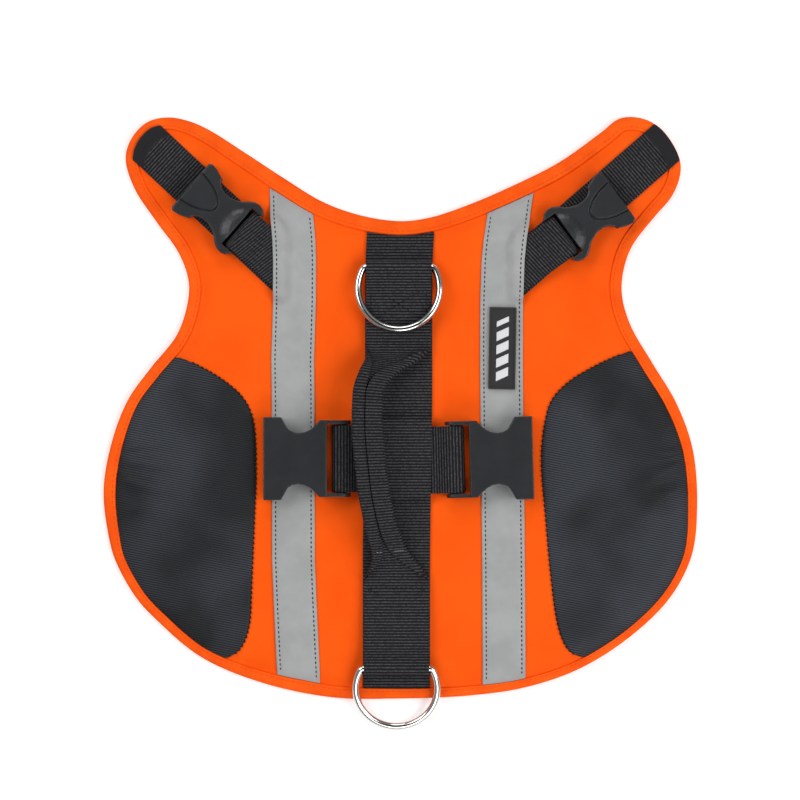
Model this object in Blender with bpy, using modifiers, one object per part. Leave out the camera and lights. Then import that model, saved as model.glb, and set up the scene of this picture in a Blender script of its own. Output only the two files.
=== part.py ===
"""A dog life jacket laid flat: a padded panel with two neck arms, webbing, tapes, buckles and rings.

Lengths below are in millimetres. +Y runs from the hem to the neck, +X to the right and +Z up from the
surface that the jacket lies on. The origin is the middle of the jacket's bounding box, on that surface.
"""

import math

import bmesh
import bpy
import numpy as np
from mathutils import Matrix, Vector
from mathutils.geometry import delaunay_2d_cdt

MM = 0.001
GAP = 0.3  # left between neighbouring pieces
OVERLAP = 1.0  # how far a cutter runs past the face that it opens

# The panel and the strip that binds its rim. Depths are measured inwards from the outline.
RIM_DEPTH = 1.1
RIM_LOW = 1.1
RIM_HIGH = 3.6
BIND_WALL = 0.8
BIND_FACE = 6.6
BIND_TOP = RIM_HIGH + GAP + BIND_WALL
BIND_ROUND = 0.7
SEAM_DEPTH = BIND_FACE + GAP
PAD = 7.0
PAD_PROFILE = (  # depth, height of the padded face
    (SEAM_DEPTH, RIM_HIGH),
    (9.0, 5.2),
    (12.5, 6.5),
    (17.5, PAD),
)
PAD_GRID = 19.0
RING_SPACING = 12.0  # most between two corners of a kink in the padded face
LEAST_SPACING = 2.2  # least between any two of them
CLOTH = 1.0

# Webbing.
WEB = 1.5
BACK_HALF = 18.9
HANDLE_HALF = 18.4
BELLY_HALF = 18.8
NECK_WEB = 1.0
NECK_HALF = 12.4
BAR_PLAY = 0.3
LOOP_STEPS = 8
SETTLE = 15.0  # how far from a bar the two legs of a loop lie together again,
SETTLE_SHARE = 0.72  # or what share of its reach, on a short one

# The outline, anticlockwise from the middle of the neck.
OUTLINE = (  # x, y
    (0, 114), (-22.5, 117.3), (-44, 125), (-64.7, 137.6), (-87.5, 152.5), (-108, 165.5), (-119.5, 170.5),
    (-131, 172.5), (-142.5, 170), (-151.5, 161), (-155, 149.5), (-150, 132.5), (-137.5, 113.5),
    (-125, 96), (-119.5, 80.5), (-120, 68), (-126, 50), (-141, 31), (-153.5, 13.5), (-162.5, -9.5),
    (-167.4, -37.5), (-164.5, -64), (-160.5, -78), (-149, -98.5), (-137.5, -111), (-113, -131.5),
    (-80.5, -145.6), (-39.5, -154.5), (0, -155.3), (39, -153.6), (70.5, -149), (101, -138.5),
    (129.5, -120.5), (152, -98.5), (164.2, -75), (167.4, -49), (165, -15), (155.6, 11.5),
    (141.8, 34.5), (129.3, 56.5), (124.8, 76), (129.5, 97.5), (143.5, 116.5), (152.5, 127),
    (157.4, 138), (158, 147), (154, 157), (146, 167), (136, 172), (124, 172), (112.5, 163.5),
    (90, 147.5), (64.5, 134.5), (36.5, 122.5), (16.5, 116),
)
# Width of the binding on the face, from its outer edge to the seam. It was turned in by hand as it was
# sewn, so it varies round the jacket.
BIND_WIDTHS = (  # corner of the outline, width
    (0, 8.2), (3, 9.0), (7, 6.9), (16, 7.0), (18, 6.4), (20, 7.2), (22, 5.7), (25, 5.6), (26.6, 7.4),
    (28, 5.9), (30, 5.2), (32, 4.6), (34, 4.7), (35, 5.5), (37, 6.5), (39, 6.9), (45, 6.9), (52, 8.6),
)
OUTLINE_STEPS = 2
SCAN = (185.0, 60.0)  # from outside the outline to well inside it, up or down the jacket

# Inner edges of the two black side panels, from the front corner to the rear one.
SIDE_LEFT = (  # x, y
    (-123.5, 37), (-112, 31.6), (-99.8, 24.3), (-88.8, 14.6), (-83.2, 3), (-81.3, -26), (-82.2, -55),
    (-83.6, -88), (-84, -100), (-84.8, -112), (-87.6, -122.5), (-91.5, -128.5), (-96, -131.5),
)
SIDE_RIGHT = (  # x, y
    (131.5, 41.5), (117, 35.8), (105.5, 30), (94.5, 23), (85.2, 12.8), (81.2, -1), (79.5, -21),
    (81.5, -49), (85, -88), (88.1, -111), (91.3, -122), (95.5, -128.5), (102, -132),
)
SIDE_GRID = 9.0
SIDE_CLEAR = (1.0, 3.0)  # least from a panel's edge to the pad's own corners and to added ones
SIDE_SPACING = 4.5  # least between the two kinds
SIDE_LIFT, SIDE_LIFT_RATE = 2.0, 1.5  # keeps the panel clear of the shoulder of the pad
CREASES = (  # x, y, heading in degrees, length, width, height
    (-148, -16, 10, 34, 4.5, 0.8),
    (-144, -36, -8, 40, 5.5, 0.6),
    (-118, 14, -38, 36, 6.0, 0.7),
    (-136, -74, 28, 30, 5.0, 0.5),
    (148, -20, 200, 36, 4.0, 0.9),
    (145, -38, 214, 44, 5.0, 0.7),
    (120, 8, 240, 40, 6.5, 0.6),
    (131, -80, 150, 28, 4.5, 0.5),
)

# Middle lines of the tapes and the back webbing.
TAPE_OUTER = (-71.6, 70.1)  # x of the tapes' outer edges, where the straps run in under them
TAPE_COLUMNS = (-12.1, -8.3, -5.1, -0.5, 5.8, 12.1)  # from its outer edge to its inner one
TAPE_LINE = (  # y, x of the left tape, x of the right tape
    (130, -61.4, 62.9), (117, -61.1, 61.0), (103, -59.9, 58.9), (92, -59.5, 57.8), (69, -59.6, 57.0),
    (36, -60.6, 56.9), (13, -60.3, 57.1), (-77, -60.2, 58.05), (-99.5, -59.3, 58.2), (-140, -57.4, 58.4),
)
TAPE_ROWS = (109.0, 104.0, 98.0, 91.0, 84.0, 78.0, 72.0, 66.2)  # over the ends of the straps
BACK_LINE = (  # y, x
    (112, 0.3), (88, -0.9), (60, -0.9), (10, -1.0), (-30, -1.6), (-70, -2.2), (-150, -2.2),
)
BELLY_MARGIN, BELLY_FADE = 2.2, 5.0  # how the back webbing comes down beside the belly webbing

# Rings of 4 mm wire: a bar, and an arc of a circle that ends on it.
WIRE = 2.0
RING_RADIUS = 23.0
RING_HEIGHT = 34.8
RING_CORNER = 2.4
RING_BAR_Z = 12.9
RINGS = (  # name, x, y of the bar, and how far the arc tips down, in degrees
    ("ring_front", -0.9, 87.7, -4.3),
    ("ring_rear", -2.2, -137.7, 17.7),
)
LEG_LENGTH = (32.0, 16.0)  # of the webbing under the front and the rear ring's loop

# The grip: webbing whose two edges fold over and meet on top. Rows run from its front to its rear.
GRIP_LINE = (  # y, x from the back webbing's middle, z, turn of the edges, crease, roll
    (44.5, 0.0, 9.85, 0, 15.2, 0),
    (40.5, -0.6, 10.7, 70, 15.0, 1),
    (37.0, -2.5, 12.8, 150, 13.8, 4),
    (34.0, -5.5, 15.8, 180, 11.8, 9),
    (30.5, -9.8, 19.0, 180, 9.6, 15),
    (26.0, -13.8, 21.9, 180, 8.3, 20),
    (19.0, -17.0, 24.2, 180, 7.8, 24),
    (7.0, -17.9, 25.7, 180, 7.8, 25),
    (-8.0, -17.4, 26.0, 180, 7.8, 25),
    (-24.0, -15.5, 25.4, 180, 7.8, 24),
    (-38.0, -13.6, 24.0, 180, 7.8, 22),
    (-49.0, -11.2, 22.0, 180, 7.8, 20),
    (-60.0, -8.2, 19.0, 180, 7.9, 17),
    (-68.5, -5.0, 16.0, 180, 8.3, 13),
    (-74.0, -3.0, 13.9, 180, 9.4, 9),
    (-78.5, -1.5, 12.3, 180, 11.6, 5),
    (-82.5, -0.6, 11.1, 165, 13.8, 3),
    (-86.0, -0.2, 10.3, 90, 15.0, 1),
    (-90.0, 0.0, 9.85, 0, 15.2, 0),
)
GRIP_STEPS = 2
BEND = 1.0  # middle radius of a folded edge

# Buckles. Each is made with its webbing bar along Y through the origin and its socket towards +X.
BELLY_BAR_Z = 12.0
BELLY_LOW, BELLY_HIGH = -3.3, 6.7
BELLY_MOUTH = 44.4
BELLY_SLOT = 8.8
BELLY_HOUSING = (  # distance from the bar, half width
    (BELLY_SLOT, 21.5), (12.8, 21.6), (15.4, 18.8), (18.0, 16.4), (21.4, 14.8), (24.8, 14.3),
    (28.2, 14.9), (30.6, 16.2), (32.6, 19.6), (34.6, 23.2), (BELLY_MOUTH, 23.3),
)
BELLY_ARM = (19.4, 21.5)
BELLY_ARM_ROUND = 4.6
BELLY_ARM_INSET = (0.4, 1.2)  # of an arm from the case's underside and its face
BELLY_SOFT, BELLY_ARM_SOFT = 0.9, 0.7
BELLY_SOCKET = (14.2, 17.0, -1.1, 4.5)  # start, half width, low, high
BELLY_BUCKLES = (  # side, x, y of the bar, heading of the socket in degrees
    ("left", -32.4, -19.8, 180.0),
    ("right", 30.1, -20.4, 1.5),
)
BELLY_REACH = 16.3  # of the webbing from its bar to its end under the back webbing
BELLY_SLACK = 2.2  # of the loop past its bar

NECK_BAR_Z = 12.0
NECK_BAR = 1.6
NECK_LOW, NECK_HIGH = -3.4, 4.6
NECK_MOUTH = 39.0
NECK_HOUSING = (  # distance from the bar, half width
    (-3.2, 13.8), (-1.0, 16.4), (1.9, 17.3), (5.3, 16.8), (8.2, 14.9), (10.6, 12.6), (13.5, 10.9),
    (17.5, 9.5), (21.6, 9.5), (24.7, 10.5), (26.9, 12.4), (27.6, 14.4), (33.4, 16.6), (37.4, 17.2),
    (NECK_MOUTH, 15.8),
)
NECK_SLOT = (4.3, 13.1)  # far wall, half width
NECK_SOCKET = (13.5, 12.0, -1.7, 2.8)
NECK_HEEL = 3.6  # radius about the bar that the case's rear corners are cut back to
NECK_SOFT = 0.8
NECK_TONGUE = (  # distance from the bar, half width of the raised tongue on the face
    (20.4, 0.0), (21.0, 1.9), (23.4, 4.2), (27.6, 6.6), (33.0, 8.3), (NECK_MOUTH, 9.2),
)
TONGUE_GROOVE = (0.9, 0.7)  # width of the groove round it, behind and beside
TONGUE_TIP = 0.4
TONGUE_SUNK, TONGUE_ROOT = 0.6, 1.2
TONGUE_RAISED = 1.0
SCOOP_AT = (2.0, NECK_HIGH + 2.0)  # middle of the hollow that leads into the slot: along, up
SCOOP_SIZE = (11.4, 13.6, 5.0)
NECK_BUCKLES = (  # side, x, y of the bar, heading of the socket in degrees
    ("left", -88.5, 107.9, 139.0),
    ("right", 91.0, 104.8, 36.0),
)
NECK_STRAPS = (  # side, x, y of a point on its middle line, heading of its tip, depth where it ends
    ("left", -109.3, 126.5, 136.8, 4.2),
    ("right", 120.6, 132.6, 41.0, GAP),
)
STRAP_SCAN = (-70.0, 20.0)
STRAP_REST = 12.0  # a strap that covers the binding comes down to the pad by this depth
STRAP_TUCK = 3.2  # how far the strap ends run in under the tape
STRAP_RISE = 4.4  # of the tape over them
STRAP_MARGIN, STRAP_FADE = 1.0, 3.0

LABEL_AT = (57.4, 42.2)
LABEL_TURN = -1.0
LABEL_SIZE = (15.2, 46.2)
LABEL_BASE, LABEL_RIM, LABEL_RIM_WIDTH = 1.2, 0.5, 1.1

COLOURS = {  # sRGB, roughness, metallic
    "orange_shell": ("FF5A0A", 0.62, 0.0),
    "orange_binding": ("F5560A", 0.66, 0.0),
    "black_rib_fabric": ("26282D", 0.55, 0.0),
    "reflective_tape": ("A2A4A6", 0.45, 0.0),
    "black_webbing": ("2B2B2E", 0.75, 0.0),
    "black_plastic": ("3C3D3F", 0.48, 0.0),
    "nickel_plate": ("D8D8D6", 0.14, 1.0),
    "black_rubber": ("1C1C1E", 0.60, 0.0),
}


# ---- the scene, its collections and its materials


def new_collection(name):
    collection = bpy.data.collections.new(name)
    bpy.context.scene.collection.children.link(collection)
    return collection


def linear(channel):
    """An sRGB channel, 0 to 1, as linear light."""
    return channel / 12.92 if channel <= 0.04045 else ((channel + 0.055) / 1.055) ** 2.4


def new_material(name, hex_colour, roughness, metallic):
    material = bpy.data.materials.new(name)
    material.use_nodes = True
    shader = material.node_tree.nodes["Principled BSDF"]
    channels = [linear(int(hex_colour[k : k + 2], 16) / 255) for k in (0, 2, 4)]
    shader.inputs["Base Color"].default_value = (*channels, 1)
    shader.inputs["Roughness"].default_value = roughness
    shader.inputs["Metallic"].default_value = metallic
    return material


def mesh_of(name, points, faces):
    """A closed mesh from points in millimetres, its faces turned outwards."""
    mesh = bpy.data.meshes.new(name)
    mesh.from_pydata([Vector(p) * MM for p in points], [], [tuple(f) for f in faces])
    shape = bmesh.new()
    shape.from_mesh(mesh)
    bmesh.ops.recalc_face_normals(shape, faces=shape.faces)
    shape.to_mesh(mesh)
    shape.free()
    return mesh


def place(name, data, material, at=(0, 0, 0), turn=(0, 0, 0)):
    """Puts a mesh or curve in the jacket's collection as a node of its own."""
    obj = bpy.data.objects.new(name, data)
    obj.location = Vector(at) * MM
    obj.rotation_euler = [math.radians(angle) for angle in turn]
    data.materials.clear()
    data.materials.append(MATERIALS[material])
    JACKET.objects.link(obj)
    if obj.type == "MESH":
        data.shade_smooth()
        data.set_sharp_from_angle(angle=math.radians(40))
    return obj


# ---- curves, the outline and the heights of the padded face


def smooth_step(value):
    value = np.clip(value, 0, 1)
    return value * value * (3 - 2 * value)


def spline(points, steps, closed=False):
    """Points on the centripetal Catmull-Rom curve through the given ones."""
    points = np.asarray(points, float)
    if closed:
        padded = np.vstack([points[-1:], points, points[:2]])
    else:
        padded = np.vstack([2 * points[0] - points[1], points, 2 * points[-1] - points[-2]])
    curve = []
    for a, b, c, d in zip(padded, padded[1:], padded[2:], padded[3:], strict=False):
        spans = [np.linalg.norm(q - p) ** 0.5 for p, q in ((a, b), (b, c), (c, d))]
        t0, t1, t2, t3 = np.concatenate([[0], np.cumsum(spans)])
        for t in np.linspace(t1, t2, steps, endpoint=False):
            ab = a + (b - a) * (t - t0) / (t1 - t0)
            bc = b + (c - b) * (t - t1) / (t2 - t1)
            cd = c + (d - c) * (t - t2) / (t3 - t2)
            first = ab + (bc - ab) * (t - t0) / (t2 - t0)
            last = bc + (cd - bc) * (t - t1) / (t3 - t1)
            curve.append(first + (last - first) * (t - t1) / (t2 - t1))
    if not closed:
        curve.append(points[-1])
    return np.array(curve)


def inset(level):
    """The outline moved inwards, corner by corner. The seam's level lies where the binding's width has it."""
    ahead = np.roll(EDGE, -1, axis=0) - EDGE
    ahead /= np.linalg.norm(ahead, axis=1, keepdims=True)
    inwards = np.column_stack([-ahead[:, 1], ahead[:, 0]])
    mitre = inwards + np.roll(inwards, 1, axis=0)
    mitre *= 2 / (mitre**2).sum(axis=1, keepdims=True)
    return EDGE + mitre * (level + (SWELL - 1) * min(level, SEAM_DEPTH))[:, None]


def inside(point, outline):
    x, y = outline.T
    next_x, next_y = np.roll(x, -1), np.roll(y, -1)
    spans = (y > point[1]) != (next_y > point[1])
    with np.errstate(divide="ignore", invalid="ignore"):
        crossing = x + (point[1] - y) / (next_y - y) * (next_x - x)
    return bool(np.count_nonzero(spans & (crossing > point[0])) % 2)


def distance(point, outline):
    along = np.roll(outline, -1, axis=0) - outline
    share = ((point - outline) * along).sum(axis=1) / (along**2).sum(axis=1)
    nearest = outline + along * np.clip(share, 0, 1)[:, None]
    return float(np.linalg.norm(point - nearest, axis=1).min())


def depth(point):
    """How deep inside the outline a point lies, negative outside it, on the scale that inset uses."""
    point = np.asarray(point, float)
    corner, nearest = on_ring(point, EDGE)
    away = float(np.hypot(*(point - nearest)))
    swell = np.interp(corner, np.arange(len(EDGE)), SWELL, period=len(EDGE))
    level = min(away / swell, SEAM_DEPTH) + max(away - SEAM_DEPTH * swell, 0.0)
    return level if inside(point, EDGE) else -level


def pad_top(point, further=0.0):
    """Height of the padded face under a point, or that much deeper inside it."""
    return float(np.interp(depth(point) + further, *zip(*PAD_PROFILE, strict=True)))


def spaced(points, least):
    """The points in order, without those too close to one already kept."""
    kept = []
    for point in points:
        if all(np.hypot(*(point - other)) > least for other in kept):
            kept.append(point)
    return kept


def grid(outline, step):
    """A triangular grid over an outline."""
    low, high = outline.min(axis=0), outline.max(axis=0)
    rows = np.arange(low[1], high[1], step * math.sqrt(3) / 2)
    return [
        np.array([x, y])
        for row, y in enumerate(rows)
        for x in np.arange(low[0] + row % 2 * step / 2, high[0], step)
        if inside((x, y), outline)
    ]


def on_ring(point, ring):
    """The place on a closed ring nearest to a point: its corner number with the share to the next."""
    along = np.roll(ring, -1, axis=0) - ring
    share = np.clip(((point - ring) * along).sum(axis=1) / (along**2).sum(axis=1), 0, 1)
    away = np.linalg.norm(ring + along * share[:, None] - point, axis=1)
    index = int(np.argmin(away))
    return index + share[index], ring[index] + along[index] * share[index]


def side_edges(inner):
    """A side panel's corners along the seam, and the smooth inner edge that starts and ends there."""
    seam = inset(SEAM_DEPTH)
    if inner[0][0] > 0:
        inner = inner[::-1]
    (first, start), (last, end) = (on_ring(np.array(inner[k], float), seam) for k in (0, -1))
    run = seam[math.ceil(first + 0.2) : math.floor(last - 0.2) + 1]
    return run, spline([start, *inner[1:-1], end], 4)


def pad_points():
    """Where the padded face has its corners, with the runs of them that follow a side panel's edge.

    They lie along each kink of the face's profile, and sparsely inside the last of them.
    """
    kept, runs = [], []
    for line in (SIDE_LEFT, SIDE_RIGHT):
        start = len(kept)
        kept += spaced([p for p in side_edges(line)[1] if depth(p) > SEAM_DEPTH + 1], LEAST_SPACING)
        runs.append(range(start, len(kept)))
    for level, _ in PAD_PROFILE[1:]:
        ring = inset(level)
        for here, there in zip(ring, np.roll(ring, -1, axis=0), strict=True):
            extra = [(here + there) / 2] if np.hypot(*(there - here)) > RING_SPACING else []
            kept += [p for p in (here, *extra) if abs(depth(p) - level) < 0.1]
    kept = spaced(kept, LEAST_SPACING)
    flat_depth = PAD_PROFILE[-1][0] + PAD_GRID / 3
    return kept + [p for p in grid(EDGE, PAD_GRID) if depth(p) > flat_depth], runs


def fill(outline, loose, runs=()):
    """Triangles over an outline and the loose points inside it, as indices into both together."""
    corners = [Vector(p) for p in (*outline, *loose)]
    rim = len(outline)
    edges = [(rim + k, rim + k + 1) for run in runs for k in run[:-1]]
    result = delaunay_2d_cdt(corners, edges, [list(range(rim))], 1, 1e-5)
    return [tuple(face) for face in result[2]]


def slab(outline, loose, low, high):
    """A sheet over an outline: its corners at two heights, each given by a function of the point."""
    plan = [*outline, *loose]
    count = len(plan)
    points = [(*p, low(p)) for p in plan] + [(*p, high(p)) for p in plan]
    faces = []
    for face in fill(outline, loose):
        faces.append(face[::-1])
        faces.append([k + count for k in face])
    rim = len(outline)
    faces += [(k, (k + 1) % rim, (k + 1) % rim + count, k + count) for k in range(rim)]
    return points, faces


def loft(sections, closed=False):
    """Faces round a run of equal sections that each go out along one side and back along the other.

    The first and last are capped, unless the run closes on itself.
    """
    rows, around = len(sections), len(sections[0])
    faces = []
    for row in range(rows if closed else rows - 1):
        here, there = row * around, (row + 1) % rows * around
        for k in range(around):
            other = (k + 1) % around
            faces.append((here + k, here + other, there + other, there + k))
    if not closed:
        for start in (0, (rows - 1) * around):
            back = start + around - 1
            faces += [(start + k, start + k + 1, back - k - 1, back - k) for k in range(around // 2 - 1)]
    return np.concatenate(sections), faces


# ---- the panel, its binding and what is sewn flat on it


def make_panel():
    """The pad: flat below, thin at the rim that the binding wraps, full inside it."""
    rim, seam = inset(RIM_DEPTH), inset(SEAM_DEPTH)
    count = len(rim)
    rows = ((seam, 0), (seam, RIM_LOW), (rim, RIM_LOW), (rim, RIM_HIGH))
    points = [(*p, z) for ring, z in rows for p in ring]
    top = len(points)
    points += [(*p, pad_top(p)) for p in (*seam, *PAD_POINTS)]
    for index in range(count):
        points[top + index] = (*seam[index], RIM_HIGH)
    faces = [face[::-1] for face in fill(seam, [])]
    faces += [[k + top for k in face] for face in fill(seam, PAD_POINTS, PAD_RUNS)]
    starts = (0, count, 2 * count, 3 * count, top)
    for here, there in zip(starts, starts[1:], strict=False):
        for k in range(count):
            other = (k + 1) % count
            faces.append((here + k, here + other, there + other, there + k))
    place("body_panel", mesh_of("body_panel", points, faces), "orange_shell")


def make_binding():
    """A strip folded round the rim: a face, a rounded edge and a leg beneath."""
    inner_low, inner_high = BIND_WALL, RIM_HIGH + GAP
    profile = (  # depth, z
        (BIND_FACE, BIND_TOP),
        (BIND_ROUND, BIND_TOP),
        (0.0, BIND_TOP - BIND_ROUND),
        (0.0, BIND_ROUND),
        (BIND_ROUND, 0.0),
        (BIND_FACE, 0.0),
        (BIND_FACE, inner_low),
        (BIND_WALL, inner_low),
        (BIND_WALL, inner_high),
        (BIND_FACE, inner_high),
    )
    rings = [np.column_stack([inset(level), np.full(len(EDGE), z)]) for level, z in profile]
    sections = [np.array(section) for section in zip(*rings, strict=True)]
    points, faces = loft(sections, closed=True)
    place("edge_binding", mesh_of("edge_binding", points, faces), "orange_binding")


def crease_height(point):
    """The largest soft folds in the side panels, as ridges that fade at both ends."""
    height = 0.0
    for x, y, heading, length, width, tall in CREASES:
        along = np.array([math.cos(math.radians(heading)), math.sin(math.radians(heading))])
        offset = np.asarray(point) - (x, y)
        run = abs(offset @ along) / (length / 2)
        side = (offset @ (-along[1], along[0])) / width
        height += tall * (1 - smooth_step(run)) * math.exp(-side * side)
    return height


def make_side_panel(name, inner):
    """Ribbed cloth from the binding in to its own folded edge."""
    run, inner = side_edges(inner)
    outline = np.vstack([run, inner[::-1]])
    own_clear, more_clear = SIDE_CLEAR
    own = [p for p in PAD_POINTS if inside(p, outline) and distance(p, outline) > own_clear]
    more = [p for p in grid(outline, SIDE_GRID) if distance(p, outline) > more_clear]
    more = [p for p in more if depth(p) > PAD_PROFILE[-1][0]]
    loose = own + [p for p in more if min(np.hypot(*(p - other)) for other in own) > SIDE_SPACING]
    low = lambda p: pad_top(p, min(SIDE_LIFT, (depth(p) - SEAM_DEPTH) / SIDE_LIFT_RATE)) + GAP
    high = lambda p: low(p) + CLOTH + crease_height(p)
    points, faces = slab(outline, loose, low, high)
    place(name, mesh_of(name, points, faces), "black_rib_fabric")


def fill_marks(marks, counts):
    """The marks with some equal steps in each interval between them."""
    values = [marks[0]]
    for here, there, count in zip(marks, marks[1:], counts, strict=False):
        values += list(np.linspace(here, there, count + 1)[1:])
    return values


def first_at(path, ways, level):
    """Where a path that comes in over the rim first lies this deep in the panel."""
    depths = np.array([depth(path(way)) for way in ways])
    index = int(np.argmax(depths >= level))
    share = (level - depths[index - 1]) / (depths[index] - depths[index - 1])
    return ways[index - 1] + share * (ways[index] - ways[index - 1])


def strip(name, lines, ground, wall, material):
    """Flat cloth along lines of points, side by side, laid just above the ground's height."""
    sections = []
    for row in zip(*lines, strict=True):
        low = [(*p, ground(p) + GAP) for p in row]
        high = [(x, y, z + wall) for x, y, z in low]
        sections.append(np.array(low + high[::-1]))
    points, faces = loft(sections)
    place(name, mesh_of(name, points, faces), material)


def lengthwise(middle_x, sides, inner_marks, step):
    """Lines up the jacket from seam to seam, with a row at each kink of the pad's profile."""
    scan = np.linspace(*SCAN, 251)
    levels = [SEAM_DEPTH + GAP, *(level for level, _ in PAD_PROFILE[1:])]
    paths = [lambda y, side=side: np.array([middle_x(y) + side, y]) for side in sides]
    fronts = [[first_at(path, scan, level) for level in levels] for path in paths]
    rears = [[first_at(path, -scan, level) for level in levels[::-1]] for path in paths]
    marks = np.array([fronts[0][-1], *inner_marks, rears[0][0]])
    counts = [max(1, math.ceil(span / step)) for span in marks[:-1] - marks[1:]]
    lines = []
    for path, front, rear in zip(paths, fronts, rears, strict=True):
        middle = fill_marks([front[-1], *inner_marks, rear[0]], counts)
        lines.append([path(y) for y in (*front[:-1], *middle, *rear[1:])])
    return lines


def strap_rise(point):
    """How high the tape is lifted by the three layers of strap that end under it."""
    rise = 0.0
    for (_, x, y, heading), tape_edge in zip(NECK_BUCKLES, TAPE_OUTER, strict=True):
        along = np.array([math.cos(math.radians(heading)), math.sin(math.radians(heading))])
        offset = np.asarray(point) - (x, y)
        beside = max(0.0, abs(offset @ (-along[1], along[0])) - NECK_HALF - STRAP_MARGIN)
        beyond = max(0.0, abs(tape_edge - point[0]) - STRAP_TUCK - STRAP_MARGIN)
        away = math.hypot(beside, beyond)
        if point[0] * tape_edge > 0:
            rise = max(rise, STRAP_RISE * (1 - smooth_step(away / STRAP_FADE)))
    return rise


def make_tapes():
    rows = np.array(TAPE_LINE)[::-1]
    for column, side, outwards in ((1, "left", 1), (2, "right", -1)):
        middle = lambda y, column=column: float(np.interp(y, rows[:, 0], rows[:, column]))
        lines = lengthwise(middle, [outwards * x for x in TAPE_COLUMNS], TAPE_ROWS, 15.0)
        ground = lambda p: pad_top(p) + strap_rise(p)
        strip(f"reflective_tape_{side}", lines, ground, CLOTH, "reflective_tape")


def back_middle(y):
    rows = np.array(BACK_LINE)[::-1]
    return float(np.interp(y, rows[:, 0], rows[:, 1]))


def belly_rise(y):
    """How high the back webbing is lifted by the belly webbing, two layers that cross under it."""
    over = abs(y - BELLY_BUCKLES[0][2]) - BELLY_HALF - BELLY_MARGIN
    return 2 * (WEB + GAP) * (1 - smooth_step(over / BELLY_FADE))


def make_back_webbing():
    middle = BELLY_BUCKLES[0][2]
    edges = [BELLY_HALF + BELLY_MARGIN + more for more in (BELLY_FADE, BELLY_FADE / 2, 0)]
    marks = [middle + edge for edge in edges] + [middle - edge for edge in edges[::-1]]
    lines = lengthwise(back_middle, np.linspace(-BACK_HALF, BACK_HALF, 5), marks, 16.0)
    ground = lambda p: pad_top(p) + belly_rise(p[1])
    strip("back_webbing", lines, ground, WEB, "black_webbing")


# ---- webbing that folds: loops round bars, and the grip


def loop_path(reach, bar_z, bend, low, high, slack=0.0):
    """Middle line of webbing round a bar, as (distance inwards, height): lower leg, bend, upper leg."""
    ways = np.array([1.0, 0.75, 0.5, 0.25, 0.1]) * reach
    closing = smooth_step(ways / min(SETTLE, SETTLE_SHARE * reach))
    lower = np.column_stack([ways, bar_z - bend + (low - bar_z + bend) * closing])
    upper = np.column_stack([ways, bar_z + bend + (high - bar_z - bend) * closing])[::-1]
    angles = np.linspace(-math.pi / 2, math.pi / 2, LOOP_STEPS + 1)
    turn = np.column_stack([-slack - bend * np.cos(angles), bar_z + bend * np.sin(angles)])
    return np.vstack([lower, turn, upper])


def path_normals(path):
    """Unit normals on the outer side of a loop's path."""
    ahead = np.gradient(path, axis=0)
    ahead /= np.linalg.norm(ahead, axis=1, keepdims=True)
    return np.column_stack([ahead[:, 1], -ahead[:, 0]])


def loop_sections(path, wall, places):
    """Rectangular sections along a loop: places gives, for a distance inwards, one point on each edge."""
    sections = []
    for (way, z), normal in zip(path, path_normals(path), strict=True):
        section = []
        for side, shift in ((0, 0.5), (1, 0.5), (1, -0.5), (0, -0.5)):
            x, y = places(way + shift * wall * normal[0])[side]
            section.append((x, y, z + shift * wall * normal[1]))
        sections.append(np.array(section))
    return sections


def make_belly_webbing():
    """A loop for each belly buckle, its two ends side by side under the back webbing."""
    bend = WIRE + BAR_PLAY + WEB / 2
    low = PAD + GAP + WEB / 2
    path = loop_path(BELLY_REACH, BELLY_BAR_Z, bend, low, low + WEB + GAP, BELLY_SLACK)
    for side, x, y, heading in BELLY_BUCKLES:
        turn = Matrix.Rotation(math.radians(heading), 2)
        edges = lambda way, x=x, y=y, turn=turn: [
            Vector((x, y)) + turn @ Vector((-way, half)) for half in (-BELLY_HALF, BELLY_HALF)
        ]
        points, faces = loft(loop_sections(path, WEB, edges))
        name = f"belly_webbing_{side}"
        place(name, mesh_of(name, points, faces), "black_webbing")


def make_neck_loops():
    """A loop for each neck buckle, on top of its strap, cut off along the tape that covers its ends."""
    bend = NECK_BAR + BAR_PLAY + NECK_WEB / 2
    low = PAD + 2 * GAP + 1.5 * NECK_WEB
    for (side, x, y, heading), tape_edge in zip(NECK_BUCKLES, TAPE_OUTER, strict=True):
        along = Vector((math.cos(math.radians(heading)), math.sin(math.radians(heading))))
        across = Vector((-along.y, along.x))
        corners = [Vector((x, y)) + across * half for half in (-NECK_HALF, NECK_HALF)]
        end_x = tape_edge - math.copysign(STRAP_TUCK, tape_edge)
        reaches = [(corner.x - end_x) / along.x for corner in corners]
        shortest = min(reaches)
        path = loop_path(shortest, NECK_BAR_Z, bend, low, low + NECK_WEB + GAP)

        def edges(way):
            share = [max(way, 0.0) / shortest * reach + min(way, 0.0) for reach in reaches]
            return [corner - along * run for corner, run in zip(corners, share, strict=True)]

        points, faces = loft(loop_sections(path, NECK_WEB, edges))
        name = f"neck_loop_{side}"
        place(name, mesh_of(name, points, faces), "black_webbing")


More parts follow.
